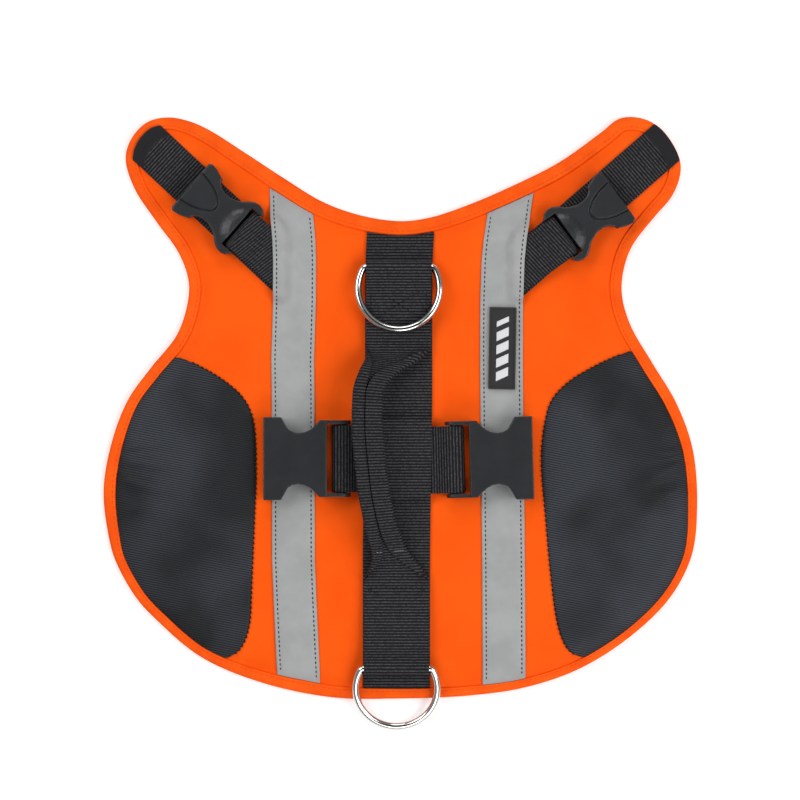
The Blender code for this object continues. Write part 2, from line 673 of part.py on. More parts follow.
def make_neck_straps():
    """Webbing from an arm's tip to the tape, under the buckle."""
    levels = [level for level, _ in PAD_PROFILE[1:-1]]
    for (side, x, y, heading, tip), tape_edge in zip(NECK_STRAPS, TAPE_OUTER, strict=True):
        along = np.array([math.cos(math.radians(heading)), math.sin(math.radians(heading))])
        across = np.array([-along[1], along[0]])
        end_x = tape_edge - math.copysign(STRAP_TUCK, tape_edge)
        lines = []
        for shift in np.linspace(-NECK_HALF, NECK_HALF, 5):
            start = np.array([x, y]) + across * shift
            path = lambda way, start=start: start - along * way
            scan = np.linspace(*STRAP_SCAN, 361)
            head = [first_at(path, scan, level) for level in (tip, SEAM_DEPTH, *levels)]
            tail = (start[0] - end_x) / along[0]
            ways = [*head[:-1], *np.linspace(head[-1], tail, 9)]
            lines.append([path(way) for way in ways])
        over_binding = lambda p: max(pad_top(p, RIM_DEPTH), BIND_TOP if depth(p) < STRAP_REST else 0)
        strip(f"neck_strap_{side}", lines, over_binding, NECK_WEB, "black_webbing")


def folded_section(turn, crease):
    """Webbing with both edges bent up at a crease: points of its outer face, then of its inner one."""
    bend_length = math.pi * BEND
    flap = HANDLE_HALF - crease - bend_length
    right = []
    for share in (0.0, 0.5, 1.0):
        angle = math.radians(turn) * share
        if turn:
            radius = bend_length / math.radians(turn)
            x, z = crease + radius * math.sin(angle), radius * (1 - math.cos(angle))
        else:
            x, z = crease + bend_length * share, 0.0
        right.append((x, z, angle))
    x, z, angle = right[-1]
    right.append((x + flap * math.cos(angle), z + flap * math.sin(angle), angle))
    left = [(-x, z, -angle) for x, z, angle in right[::-1]]
    middle = [*left, (0.0, 0.0, 0.0), *right]
    outer = [(x + WEB / 2 * math.sin(a), z - WEB / 2 * math.cos(a)) for x, z, a in middle]
    inner = [(x - WEB / 2 * math.sin(a), z + WEB / 2 * math.cos(a)) for x, z, a in middle]
    return outer + inner[::-1]


def handle_rows():
    """Rows of y, x, z, turn, crease and roll: front loop, flat run, grip, flat run, rear loop."""
    bend = WIRE + BAR_PLAY + WEB / 2
    low = PAD + 2 * GAP + 1.5 * WEB
    high = low + WEB + GAP
    flat = GRIP_LINE[0][3:]
    loops = []
    for (_, _, bar_y, _), reach, sign in zip(RINGS, LEG_LENGTH, (-1, 1), strict=True):
        path = loop_path(reach, RING_BAR_Z, bend, low, high)
        loops.append([(bar_y + sign * way, 0.0, z, *flat) for way, z in path])
    grip = spline(GRIP_LINE, GRIP_STEPS)
    return np.array([*loops[0], *grip, *loops[1][::-1]])


def make_handle():
    """One length of webbing: round the front ring, up into the grip, down, and round the rear ring."""
    rows = handle_rows()
    ahead = np.gradient(rows[:, [0, 2]], axis=0)
    sections = []
    for (y, shift, z, turn, crease, roll), (run, climb) in zip(rows, ahead, strict=True):
        tangent = Vector((0, run, climb)).normalized()
        lean = Matrix.Rotation(math.radians(roll), 3, -tangent)
        across = lean @ Vector((1, 0, 0))
        up = tangent.cross(across)
        middle = Vector((back_middle(y) + shift, y, z))
        section = folded_section(max(turn, 0), crease)
        sections.append(np.array([middle + across * a + up * b for a, b in section]))
    points, faces = loft(sections)
    place("handle_webbing", mesh_of("handle_webbing", points, faces), "black_webbing")


# ---- hard pieces


def make_rings():
    """A closed wire: bar, rounded corner, arc and corner again."""
    middle = RING_HEIGHT - RING_RADIUS
    corner_x = math.sqrt((RING_RADIUS - RING_CORNER) ** 2 - (middle - RING_CORNER) ** 2)
    meet = math.atan2(middle - RING_CORNER, corner_x)
    corner = [
        (corner_x + RING_CORNER * math.sin(a), -RING_CORNER + RING_CORNER * math.cos(a))
        for a in np.linspace(0, math.pi / 2 - meet, 6)
    ]
    arc = [
        (RING_RADIUS * math.cos(a), -middle + RING_RADIUS * math.sin(a))
        for a in np.linspace(meet, -math.pi / 2, 13)[1:]
    ]
    half = [(corner_x / 2, 0.0), *corner, *arc]
    route = half + [(-x, y) for x, y in half[-2::-1]]
    for name, x, y, tip in RINGS:
        wire = bpy.data.curves.new(name, "CURVE")
        wire.dimensions = "3D"
        wire.bevel_depth = WIRE * MM
        wire.bevel_resolution = 3
        line = wire.splines.new("POLY")
        line.points.add(len(route) - 1)
        for point, (a, b) in zip(line.points, route, strict=True):
            point.co = (a * MM, b * MM, 0, 1)
        line.use_cyclic_u = True
        place(name, wire, "nickel_plate", (x, y, RING_BAR_Z), (tip, 0, 0))


def prism(name, outline, low, high):
    """A flat outline as a 2D curve, filled and extruded, then made a mesh with its seams welded."""
    flat = bpy.data.curves.new(name, "CURVE")
    flat.dimensions = "2D"
    flat.fill_mode = "BOTH"
    flat.extrude = (high - low) / 2 * MM
    line = flat.splines.new("POLY")
    line.points.add(len(outline) - 1)
    for point, (x, y) in zip(line.points, outline, strict=True):
        point.co = (x * MM, y * MM, 0, 1)
    line.use_cyclic_u = True
    source = bpy.data.objects.new(name, flat)
    bpy.context.scene.collection.objects.link(source)
    evaluated = source.evaluated_get(bpy.context.evaluated_depsgraph_get())
    mesh = bpy.data.meshes.new_from_object(evaluated)
    bpy.data.objects.remove(source)
    mesh.transform(Matrix.Translation((0, 0, (low + high) / 2 * MM)))
    shape = bmesh.new()
    shape.from_mesh(mesh)
    bmesh.ops.remove_doubles(shape, verts=shape.verts, dist=1e-6)
    bmesh.ops.recalc_face_normals(shape, faces=shape.faces)
    shape.to_mesh(mesh)
    shape.free()
    return helper(name, mesh)


def helper(name, mesh):
    """A shape that is joined to a buckle or cut from it, hidden among the cutters."""
    obj = bpy.data.objects.new(name, mesh)
    obj.hide_render = True
    obj.display_type = "WIRE"
    CUTTERS.objects.link(obj)
    return obj


def block(name, low, high):
    """A box between two opposite corners."""
    shape = bmesh.new()
    bmesh.ops.create_cube(shape, size=1)
    size, middle = Vector(high) - Vector(low), (Vector(high) + Vector(low)) / 2
    bmesh.ops.scale(shape, vec=size * MM, verts=shape.verts)
    bmesh.ops.translate(shape, vec=middle * MM, verts=shape.verts)
    mesh = bpy.data.meshes.new(name)
    shape.to_mesh(mesh)
    shape.free()
    return helper(name, mesh)


def rod(name, radius, half, sides=14):
    """A bar along Y through the origin."""
    shape = bmesh.new()
    bmesh.ops.create_cone(
        shape, cap_ends=True, segments=sides, radius1=radius * MM, radius2=radius * MM,
        depth=2 * half * MM, matrix=Matrix.Rotation(math.pi / 2, 4, "X"),
    )
    mesh = bpy.data.meshes.new(name)
    shape.to_mesh(mesh)
    shape.free()
    return helper(name, mesh)


def both_sides(half_outline):
    """A whole outline from the half of it at +Y, listed away from the bar."""
    upper = [(x, y) for x, y in half_outline]
    lower = [(x, -y) for x, y in half_outline if y > 0]
    return upper + lower[::-1]


def soften(obj, width):
    """Rounds the sharp edges of a helper, as a moulding has them."""
    bevel = obj.modifiers.new("rounded edges", "BEVEL")
    bevel.width = width * MM
    bevel.segments = 2
    bevel.limit_method = "ANGLE"
    bevel.angle_limit = math.radians(50)


def carve(name, body, joined, cut):
    """One mesh from a body with some shapes joined to it and others cut away."""
    steps = [(shape, "UNION") for shape in joined] + [(shape, "DIFFERENCE") for shape in cut]
    for shape, operation in steps:
        boolean = body.modifiers.new(f"{operation} {shape.name}", "BOOLEAN")
        boolean.object = shape
        boolean.operation = operation
    evaluated = body.evaluated_get(bpy.context.evaluated_depsgraph_get())
    mesh = bpy.data.meshes.new_from_object(evaluated)
    mesh.name = name
    body.modifiers.clear()
    return mesh


def make_belly_buckles():
    """Socket halves for the wide webbing: a waisted case, and a bar between two arms."""
    case = prism("belly_case", both_sides(BELLY_HOUSING), BELLY_LOW, BELLY_HIGH)
    soften(case, BELLY_SOFT)
    near, far = BELLY_ARM
    angles = np.linspace(math.pi * 0.5, math.pi * 1.5, 9)
    profile = [(BELLY_ARM_ROUND * math.cos(a), BELLY_ARM_ROUND * math.sin(a)) for a in angles]
    overlap = BELLY_SLOT + 2 * OVERLAP
    inset_low, inset_high = BELLY_ARM_INSET
    profile += [(overlap, BELLY_LOW + inset_low), (overlap, BELLY_HIGH - inset_high)]
    arms = []
    for side in (-1, 1):
        arm = prism(f"belly_arm_{side + 1}", profile, near, far)
        arm.data.transform(Matrix.Rotation(math.pi / 2, 4, "X"))
        if side > 0:
            arm.data.transform(Matrix.Translation((0, (near + far) * MM, 0)))
        soften(arm, BELLY_ARM_SOFT)
        arms.append(arm)
    start, half, low, high = BELLY_SOCKET
    socket = block("belly_socket", (start, -half, low), (BELLY_MOUTH + OVERLAP, half, high))
    bar = rod("belly_bar", WIRE, near + OVERLAP)
    mesh = carve("belly_buckle", case, [*arms, bar], [socket])
    for side, x, y, heading in BELLY_BUCKLES:
        shape = mesh if side == "left" else mesh.copy()
        place(f"belly_buckle_{side}", shape, "black_plastic", (x, y, BELLY_BAR_Z), (0, 0, heading))


def make_neck_buckles():
    """Socket halves for the narrow webbing, with a raised tongue and a hollow into the slot."""
    case = prism("neck_case", both_sides(NECK_HOUSING), NECK_LOW, NECK_HIGH)
    soften(case, NECK_SOFT)
    tongue_line = [tuple(p) for p in spline(NECK_TONGUE, 2)]
    behind, beside = TONGUE_GROOVE
    wide_line = [(x - behind, y + beside) for x, y in tongue_line[1:]]
    wide_line = [(wide_line[0][0] - TONGUE_TIP, 0.0), *wide_line, (NECK_MOUTH + OVERLAP, wide_line[-1][1])]
    groove = prism("tongue_groove", both_sides(wide_line), NECK_HIGH - TONGUE_SUNK, NECK_HIGH + OVERLAP)
    inner_line = [*tongue_line[:-1], (NECK_MOUTH - GAP, tongue_line[-1][1])]
    tongue = prism("tongue", both_sides(inner_line), NECK_HIGH - TONGUE_ROOT, NECK_HIGH + TONGUE_RAISED)
    soften(tongue, NECK_SOFT)
    wall, slot_half = NECK_SLOT
    tall = NECK_HIGH + OVERLAP
    slot = block("neck_slot", (-tall, -slot_half, -tall), (wall, slot_half, tall))
    turns = np.linspace(math.pi, math.pi * 1.5, 7)
    heel_line = [(NECK_HEEL * math.cos(a), NECK_HEEL * math.sin(a)) for a in turns]
    heel_line += [(0, -2 * tall), (-2 * tall, -2 * tall), (-2 * tall, 0)]
    heel = prism("neck_heel", heel_line, -2 * NECK_MOUTH, 2 * NECK_MOUTH)
    heel.data.transform(Matrix.Rotation(math.pi / 2, 4, "X"))
    start, half, low, high = NECK_SOCKET
    socket = block("neck_socket", (start, -half, low), (NECK_MOUTH + OVERLAP, half, high))
    scoop_shape = bmesh.new()
    bmesh.ops.create_uvsphere(scoop_shape, u_segments=20, v_segments=12, radius=1)
    bmesh.ops.scale(scoop_shape, vec=Vector(SCOOP_SIZE) * MM, verts=scoop_shape.verts)
    shift = Vector((SCOOP_AT[0], 0, SCOOP_AT[1])) * MM
    bmesh.ops.translate(scoop_shape, vec=shift, verts=scoop_shape.verts)
    scoop_mesh = bpy.data.meshes.new("scoop")
    scoop_shape.to_mesh(scoop_mesh)
    scoop_shape.free()
    scoop = helper("scoop", scoop_mesh)
    bar = rod("neck_bar", NECK_BAR, slot_half + OVERLAP)
    cuts = [groove, scoop, slot, socket, heel]
    hollowed = helper("neck_hollowed", carve("neck_hollowed", case, [], cuts))
    mesh = carve("neck_buckle", hollowed, [tongue, bar], [])
    for side, x, y, heading in NECK_BUCKLES:
        shape = mesh if side == "left" else mesh.copy()
        place(f"neck_buckle_{side}", shape, "black_plastic", (x, y, NECK_BAR_Z), (0, 0, heading))


def make_label():
    """A moulded patch with a raised rim, bare inside it."""
    wide, tall = (size / 2 for size in LABEL_SIZE)
    top = LABEL_BASE + LABEL_RIM
    patch = block("label_base", (-wide, -tall, 0), (wide, tall, top))
    soften(patch, 0.5)
    rim = LABEL_RIM_WIDTH
    field = block("label_field", (rim - wide, rim - tall, LABEL_BASE), (wide - rim, tall - rim, 2 * top))
    mesh = carve("label_patch", patch, [], [field])
    height = PAD + 2 * GAP + CLOTH
    place("label_patch", mesh, "black_rubber", (*LABEL_AT, height), (0, 0, LABEL_TURN))


for leftover in list(bpy.data.objects):
    bpy.data.objects.remove(leftover)
JACKET = new_collection("dog_life_jacket")
CUTTERS = new_collection("cutters")
CUTTERS.hide_render = True
MATERIALS = {name: new_material(name, *values) for name, values in COLOURS.items()}
EDGE = spline(OUTLINE, OUTLINE_STEPS, closed=True)
EDGE_NUMBERS = np.arange(len(EDGE)) / OUTLINE_STEPS
SWELL = np.interp(EDGE_NUMBERS, *zip(*BIND_WIDTHS, strict=True), period=len(OUTLINE)) / SEAM_DEPTH
PAD_POINTS, PAD_RUNS = pad_points()

make_panel()
make_binding()
make_side_panel("side_panel_left", SIDE_LEFT)
make_side_panel("side_panel_right", SIDE_RIGHT)
make_tapes()
make_back_webbing()
make_handle()
make_belly_webbing()
make_neck_straps()
make_neck_loops()
make_rings()
make_belly_buckles()
make_neck_buckles()
make_label()
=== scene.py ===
# %% [markdown]
# # A dog life jacket, laid flat
#
# The jacket is a foam pad in an orange nylon shell. A strip binds its rim, and black side panels, grey
# tapes and a ladder of black webbing are sewn on top. The hard pieces are four buckle halves, two rings
# and a rubber label. This file dresses a plain solid model of it: each sewn piece gets a fine surface
# with its ribs, stitches and creases, and each finish gets a material built from nodes.
#
# All lengths in the tables are millimetres, because that is how a pattern cutter writes them. They are
# turned into metres only when a mesh is made.

# %% Load the solid model
import math

import bmesh
import bpy
import numpy as np
from mathutils import Matrix, Vector
from mathutils.geometry import delaunay_2d_cdt


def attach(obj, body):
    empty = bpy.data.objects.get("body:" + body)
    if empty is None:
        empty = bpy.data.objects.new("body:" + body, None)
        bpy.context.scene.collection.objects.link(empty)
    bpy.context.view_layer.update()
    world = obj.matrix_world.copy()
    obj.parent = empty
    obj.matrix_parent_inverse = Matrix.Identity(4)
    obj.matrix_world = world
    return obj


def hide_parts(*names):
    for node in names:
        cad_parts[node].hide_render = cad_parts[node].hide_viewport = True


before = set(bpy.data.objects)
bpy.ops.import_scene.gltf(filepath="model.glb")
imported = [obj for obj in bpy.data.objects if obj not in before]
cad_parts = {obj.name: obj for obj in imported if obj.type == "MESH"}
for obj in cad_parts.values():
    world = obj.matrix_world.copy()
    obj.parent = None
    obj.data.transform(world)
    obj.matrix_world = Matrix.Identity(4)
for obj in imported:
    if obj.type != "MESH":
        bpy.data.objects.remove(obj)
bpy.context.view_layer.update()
MM = 0.001

# %% [markdown]
# ## The camera
#
# The jacket is seen from straight above, as for a catalogue. A long lens far away keeps the sides of the
# buckles from showing, which a near one wouldn't.

# %% Set up the camera
VIEW_WIDTH = 450.4  # of what it sees, at the middle of the jacket's thickness
VIEW_MIDDLE = (-0.2, 13.1)
CAMERA_HEIGHT, MEAN_HEIGHT = 2500, 7
SENSOR = 36

lens_data = bpy.data.cameras.new("overhead")
lens_data.sensor_width = SENSOR
lens_data.lens = SENSOR * (CAMERA_HEIGHT - MEAN_HEIGHT) / VIEW_WIDTH
camera = bpy.data.objects.new("overhead", lens_data)
camera.location = Vector((*VIEW_MIDDLE, CAMERA_HEIGHT)) * MM
bpy.context.scene.collection.objects.link(camera)
bpy.context.scene.camera = camera
bpy.context.scene.view_settings.view_transform = "Standard"
print("lens in mm:", round(lens_data.lens))


# %% [markdown]
# ## Small helpers for materials
#
# Colours are written as the hex values that a paint or thread chart gives. A renderer wants linear light,
# so one function turns them. A second one adds a node, sets it and links it, and every material below is
# made with it. Patterns are laid out by the piece's own coordinates in millimetres, so that a thread
# spacing can be written as it is.


# %% Colours and nodes
def linear(hex_colour):
    """An sRGB hex value as linear red, green, blue and alpha, by the standard's own two curves."""
    channels = [int(hex_colour[k : k + 2], 16) / 255 for k in (0, 2, 4)]
    return (*(c / 12.92 if c <= 0.04045 else ((c + 0.055) / 1.055) ** 2.4 for c in channels), 1)


def add_node(material, kind, links=(), inputs=(), feeds=(), stops=(), **settings):
    """Adds a node: links are (input, node, output), inputs (input, value), feeds (output, shader input).

    stops are the places and hex colours of a colour ramp.
    """
    tree = material.node_tree
    node = tree.nodes.new(kind)
    for name, value in settings.items():
        setattr(node, name, value)
    for socket, value in inputs:
        node.inputs[socket].default_value = value
    for socket, source, output in links:
        tree.links.new(source.outputs[output], node.inputs[socket])
    shader = tree.nodes.get("Principled BSDF") or tree.nodes["Background"]
    for output, socket in feeds:
        tree.links.new(node.outputs[output], shader.inputs[socket])
    if stops:
        elements = node.color_ramp.elements
        while len(elements) < len(stops):
            elements.new(0.5)
        for element, (position, colour) in zip(elements, stops, strict=True):
            element.position = position
            element.color = linear(colour)
    return node


def new_material(name, colour, roughness, **extra):
    """A material whose shader has its constant values on its own sockets."""
    material = bpy.data.materials.new(name)
    material.use_nodes = True
    shader = material.node_tree.nodes["Principled BSDF"]
    for socket, value in {"Base_Color": linear(colour), "Roughness": roughness, **extra}.items():
        shader.inputs[socket.replace("_", " ")].default_value = value
    print("new material:", name)
    return material


print("mid grey, hex 808080, is", round(linear("808080")[0], 3), "in linear light")


# %% Patterns that several finishes share
TO_COLOUR, TO_NORMAL = [("Color", "Base Color")], [("Normal", "Normal")]


def millimetres(material, turn=0.0):
    """Coordinates on the piece in millimetres, turned in its plane if need be."""
    place = add_node(material, "ShaderNodeTexCoord")
    sizes = [("Scale", [1 / MM] * 3), ("Rotation", (0, 0, turn))]
    return add_node(material, "ShaderNodeMapping", [("Vector", place, "Object")], sizes)


def mottle(material, place, size, dark, light):
    """Lets the colour drift between two near tones over patches of a size in millimetres."""
    look = [("Scale", 1 / size), ("Detail", 3), ("Roughness", 0.6)]
    patches = add_node(material, "ShaderNodeTexNoise", [("Vector", place, "Vector")], look)
    stops = ((0.35, dark), (0.65, light))
    add_node(material, "ShaderNodeValToRGB", [("Fac", patches, "Fac")], feeds=TO_COLOUR, stops=stops)


def grain(material, place, size, height, strength=1.0, detail=2, fineness=0.5, below=None):
    """Lumps of a size in millimetres that catch the light as if they were of some height."""
    look = [("Scale", 1 / size), ("Detail", detail), ("Roughness", fineness)]
    lumps = add_node(material, "ShaderNodeTexNoise", [("Vector", place, "Vector")], look)
    links = [("Height", lumps, "Fac")] + ([("Normal", below, "Normal")] if below else [])
    depth = [("Strength", strength), ("Distance", height * MM)]
    add_node(material, "ShaderNodeBump", links, depth, TO_NORMAL)


def ribs_and_spots(material, ribs, painted_rib_stops, spots, output, spot_stops):
    """Paints shade in rib grooves and light on rib crests, and darkens them by a second pattern."""
    shades = []
    for source, value, stops in ((ribs, "Fac", painted_rib_stops), (spots, output, spot_stops)):
        shades.append(add_node(material, "ShaderNodeValToRGB", [("Fac", source, value)], stops=stops))
    add_node(
        material, "ShaderNodeMix", [("A", shades[0], "Color"), ("B", shades[1], "Color")],
        [("Factor", 1.0)], [("Result", "Base Color")], data_type="RGBA", blend_type="MULTIPLY",
    )


# %% [markdown]
# ## The table and the lamps
#
# The floor is a pale table of matt paper, faintly lit by itself, so that it takes on little orange. A
# soft box stands on each side, because small lamps would draw hard shadows. The sky is dark straight
# overhead: flat black cloth and plastic then stay black, and the plated rings have something dark to
# reflect between their two bright lines.

# %% Table
FLOOR_SIZE = 6000

# Matt paper scatters light evenly. Its fibres, drawn coarser than real, only take the shine off.
paper = new_material(
    "pale_paper", "E2E2E2", 0.9, Specular_IOR_Level=0.1,
    Emission_Color=linear("FFFFFF"), Emission_Strength=0.38,
)
grain(paper, millimetres(paper), size=1.667, height=0.02)
floor_mesh = bpy.data.meshes.new("floor")
corner = FLOOR_SIZE * MM / 2
corners = [(-corner, -corner, 0), (corner, -corner, 0), (corner, corner, 0), (-corner, corner, 0)]
floor_mesh.from_pydata(corners, [], [(0, 1, 2, 3)])
floor_mesh.materials.append(paper)
floor = bpy.data.objects.new("floor", floor_mesh)
bpy.context.scene.collection.objects.link(floor)

# %% Lamps and sky
LIGHTS = (  # name, x, y, z, size, watts
    ("left_softbox", -1050, 450, 1250, 1000, 11),
    ("right_softbox", 1080, -200, 1250, 1000, 12),
    ("near_softbox", 300, -1200, 1000, 800, 7.5),
    ("far_softbox", -100, 1250, 1100, 800, 6),
)
SKY = (  # upward slope, colour
    (0.0, "A4A6A8"), (0.5, "E6E7E8"), (0.86, "D2D3D4"), (0.95, "5A5C5E"), (1.0, "3A3B3D"),
)
SKY_LIGHT = 0.36

for name, x, y, z, size, watts in LIGHTS:
    panel = bpy.data.lights.new(name, "AREA")
    panel.size = size * MM
    panel.energy = watts
    lamp = bpy.data.objects.new(name, panel)
    lamp.location = Vector((x, y, z)) * MM
    lamp.rotation_euler = (-lamp.location).to_track_quat("-Z", "Y").to_euler()
    bpy.context.scene.collection.objects.link(lamp)

world = bpy.data.worlds.new("studio")
bpy.context.scene.world = world
world.use_nodes = True
world.node_tree.nodes["Background"].inputs["Strength"].default_value = SKY_LIGHT
direction = add_node(world, "ShaderNodeTexCoord")
slope = add_node(world, "ShaderNodeSeparateXYZ", [("Vector", direction, "Generated")])
add_node(world, "ShaderNodeValToRGB", [("Fac", slope, "Z")], feeds=[("Color", "Color")], stops=SKY)
print("lights:", [name for name, *_ in LIGHTS])

# %% [markdown]
# ## The pattern of the jacket
#
# The sizes below are the ones that the solid model is built from. A smooth curve through a few points
# gives the outline: a polygon would need ten times as many points to look as soft as cloth does.

# %% Outline
BIND_TOP = 4.7  # height of the binding's face
RIM_DEPTH, RIM_LOW, RIM_HIGH = 1.1, 1.1, 3.6  # place of the pad's edge inside the binding
SEAM_DEPTH = 6.9  # of the binding's inner edge
PAD = 7.0  # full thickness
SHOULDER, SHOULDER_POWER = 11.0, 2.2  # length and fullness of the slope from the seam
GAP = 0.3  # between layers
CLOTH = 1.0  # thickness of the side panels and the tapes
LAID = 0.1  # space under cloth that lies on the pad
CURVE_STEPS = 12
OUTLINE = (  # x, y
    (0, 114), (-22.5, 117.3), (-44, 125), (-64.7, 137.6), (-87.5, 152.5), (-108, 165.5), (-119.5, 170.5),
    (-131, 172.5), (-142.5, 170), (-151.5, 161), (-155, 149.5), (-150, 132.5), (-137.5, 113.5),
    (-125, 96), (-119.5, 80.5), (-120, 68), (-126, 50), (-141, 31), (-153.5, 13.5), (-162.5, -9.5),
    (-167.4, -37.5), (-164.5, -64), (-160.5, -78), (-149, -98.5), (-137.5, -111), (-113, -131.5),
    (-80.5, -145.6), (-39.5, -154.5), (0, -155.3), (39, -153.6), (70.5, -149), (101, -138.5),
    (129.5, -120.5), (152, -98.5), (164.2, -75), (167.4, -49), (165, -15), (155.6, 11.5),
    (141.8, 34.5), (129.3, 56.5), (124.8, 76), (129.5, 97.5), (143.5, 116.5), (152.5, 127),
    (157.4, 138), (158, 147), (154, 157), (146, 167), (136, 172), (124, 172), (112.5, 163.5),
    (90, 147.5), (64.5, 134.5), (36.5, 122.5), (16.5, 116),
)


def spline(points, steps, closed=False):
    """Points on the centripetal Catmull-Rom curve through the given ones."""
    points = np.asarray(points, float)
    if closed:
        padded = np.vstack([points[-1:], points, points[:2]])
    else:
        padded = np.vstack([2 * points[0] - points[1], points, 2 * points[-1] - points[-2]])
    curve = []
    for a, b, c, d in zip(padded, padded[1:], padded[2:], padded[3:], strict=False):
        spans = [np.linalg.norm(q - p) ** 0.5 for p, q in ((a, b), (b, c), (c, d))]
        t0, t1, t2, t3 = np.concatenate([[0], np.cumsum(spans)])
        for t in np.linspace(t1, t2, steps, endpoint=False):
            ab = a + (b - a) * (t - t0) / (t1 - t0)
            bc = b + (c - b) * (t - t1) / (t2 - t1)
            cd = c + (d - c) * (t - t2) / (t3 - t2)
            first = ab + (bc - ab) * (t - t0) / (t2 - t0)
            last = bc + (cd - bc) * (t - t1) / (t3 - t1)
            curve.append(first + (last - first) * (t - t1) / (t2 - t1))
    if not closed:
        curve.append(points[-1])
    return np.array(curve)


curve = spline(OUTLINE, CURVE_STEPS, closed=True)
print("outline:", len(curve), "points on a curve through", len(OUTLINE))

# %% Even steps along the outline
EDGE_STEP = 2.5
# Width of the binding on the face, from its outer edge to the seam. It was turned in by hand as it was
# sewn, so it varies round the jacket.
BIND_WIDTHS = (  # corner of the outline, width
    (0, 8.2), (3, 9.0), (7, 6.9), (16, 7.0), (18, 6.4), (20, 7.2), (22, 5.7), (25, 5.6), (26.6, 7.4),
    (28, 5.9), (30, 5.2), (32, 4.6), (34, 4.7), (35, 5.5), (37, 6.5), (39, 6.9), (45, 6.9), (52, 8.6),
)


def walk(points, step, closed=False):
    """The same path with equal steps, and how far along it each of its points is."""
    points = np.asarray(points, float)
    if closed:
        points = np.vstack([points, points[:1]])
    along = np.concatenate([[0], np.cumsum(np.linalg.norm(np.diff(points, axis=0), axis=1))])
    ways = np.linspace(0, along[-1], max(2, round(along[-1] / step) + 1))
    if closed:
        ways = ways[:-1]
    columns = [np.interp(ways, along, points[:, k]) for k in range(points.shape[1])]
    return np.column_stack(columns), ways


lengths = np.linalg.norm(np.roll(curve, -1, axis=0) - curve, axis=1)
curve_ways = np.concatenate([[0], np.cumsum(lengths)])
EDGE, EDGE_WAYS = walk(curve, EDGE_STEP, closed=True)
EDGE_ALONG = np.roll(EDGE, -1, axis=0) - EDGE
corner_numbers = np.interp(EDGE_WAYS, curve_ways, np.arange(len(curve) + 1) / CURVE_STEPS)
SWELL = np.interp(corner_numbers, *zip(*BIND_WIDTHS, strict=True), period=len(OUTLINE)) / SEAM_DEPTH


# %% [markdown]
# ## Depth inside the outline
#
# Everything sewn on the pad is placed by how deep inside the outline it lies, because the pad is thin at
# its bound rim and has its full thickness only about 18 mm in. The depth is the distance to the
# nearest edge, found with plain arithmetic on arrays. Near the rim its scale is stretched, so that the
# seam of the binding has one depth all round, though its width varies.


# %% Depth and height
CHUNK = 1500  # points handled at once, to spare memory


def smooth_step(value):
    """Eases from 0 to 1 where the value does."""
    value = np.clip(value, 0, 1)
    return value * value * (3 - 2 * value)


def unit(vectors):
    """The same directions, one long."""
    return vectors / np.linalg.norm(vectors, axis=-1, keepdims=True)


def inset(level):
    """The outline moved inwards. The seam's level lies where the binding's own width has it."""
    ahead = unit(np.roll(EDGE, -1, axis=0) - np.roll(EDGE, 1, axis=0))
    distance = level + (SWELL - 1) * min(level, SEAM_DEPTH)
    return EDGE + np.column_stack([-ahead[:, 1], ahead[:, 0]]) * distance[:, None]


def locate(points):
    """For each point, its depth on the scale of inset and the nearest place along the outline."""
    deep, near = [], []
    size = (EDGE_ALONG**2).sum(axis=1)
    for chunk in np.array_split(np.atleast_2d(points), len(points) // CHUNK + 1):
        offset = chunk[:, None] - EDGE
        share = np.clip((offset * EDGE_ALONG).sum(axis=2) / size, 0, 1)
        away = np.linalg.norm(offset - EDGE_ALONG * share[..., None], axis=2)
        index = away.argmin(axis=1)
        rows = np.arange(len(chunk))
        x, y = chunk.T[..., None]
        (x0, y0), (x1, y1) = EDGE.T, np.roll(EDGE, -1, axis=0).T
        spans = (y0 > y) != (y1 > y)
        rise = np.where(y1 == y0, 1, y1 - y0)
        crossings = spans & (x0 + (y - y0) / rise * (x1 - x0) > x)
        within = crossings.sum(axis=1) % 2 == 1
        share, away = share[rows, index], away[rows, index]
        swell = SWELL[index] * (1 - share) + np.roll(SWELL, -1)[index] * share
        level = np.minimum(away / swell, SEAM_DEPTH) + np.maximum(away - SEAM_DEPTH * swell, 0)
        deep.append(np.where(within, level, -level))
        near.append(EDGE_WAYS[index] + share * np.sqrt(size[index]))
    return np.concatenate(deep), np.concatenate(near)


def pad_height(deep):
    """Height of the padded face at some depth."""
    share = np.clip((deep - SEAM_DEPTH) / SHOULDER, 0, 1)
    return RIM_HIGH + (PAD - RIM_HIGH) * (1 - (1 - share) ** SHOULDER_POWER)


def ground(points):
    """Height of the pad under flat points or a net of them."""
    return pad_height(locate(points.reshape(-1, 2))[0]).reshape(points.shape[:-1])


print("pad height at 7, 10, 20 mm:", np.round(pad_height(np.array([7, 10, 20])), 1))


# %% Waves, headings and creases
def ripple(way, waves):
    """An uneven wave along a seam: a sum of a few lengths that never line up."""
    return sum(size * np.sin(2 * math.pi * way / length + phase) for length, size, phase in waves)


def heading_of(degrees):
    """The x and y of one step along a heading, counted from x towards y."""
    return math.cos(math.radians(degrees)), math.sin(math.radians(degrees))


def along_and_beside(points, x, y, heading):
    """How far points lie along a heading from a place, and how far to its left."""
    c, s = heading_of(heading)
    east, north = points[:, 0] - x, points[:, 1] - y
    return east * c + north * s, north * c - east * s


def crease_height(points, creases):
    """How far the creases of a table lift the cloth."""
    height = np.zeros(len(points))
    for x, y, heading, length, width, tall in creases:
        along, beside = along_and_beside(points, x, y, heading)
        height += tall * (1 - smooth_step(np.abs(along / (length / 2)))) * np.exp(-((beside / width) ** 2))
    return height


middle_of_crease = crease_height(np.zeros((1, 2)), [(0, 0, 30, 20, 2, 1.5)])
print("a crease 1.5 mm tall lifts its middle by", *middle_of_crease, "mm")


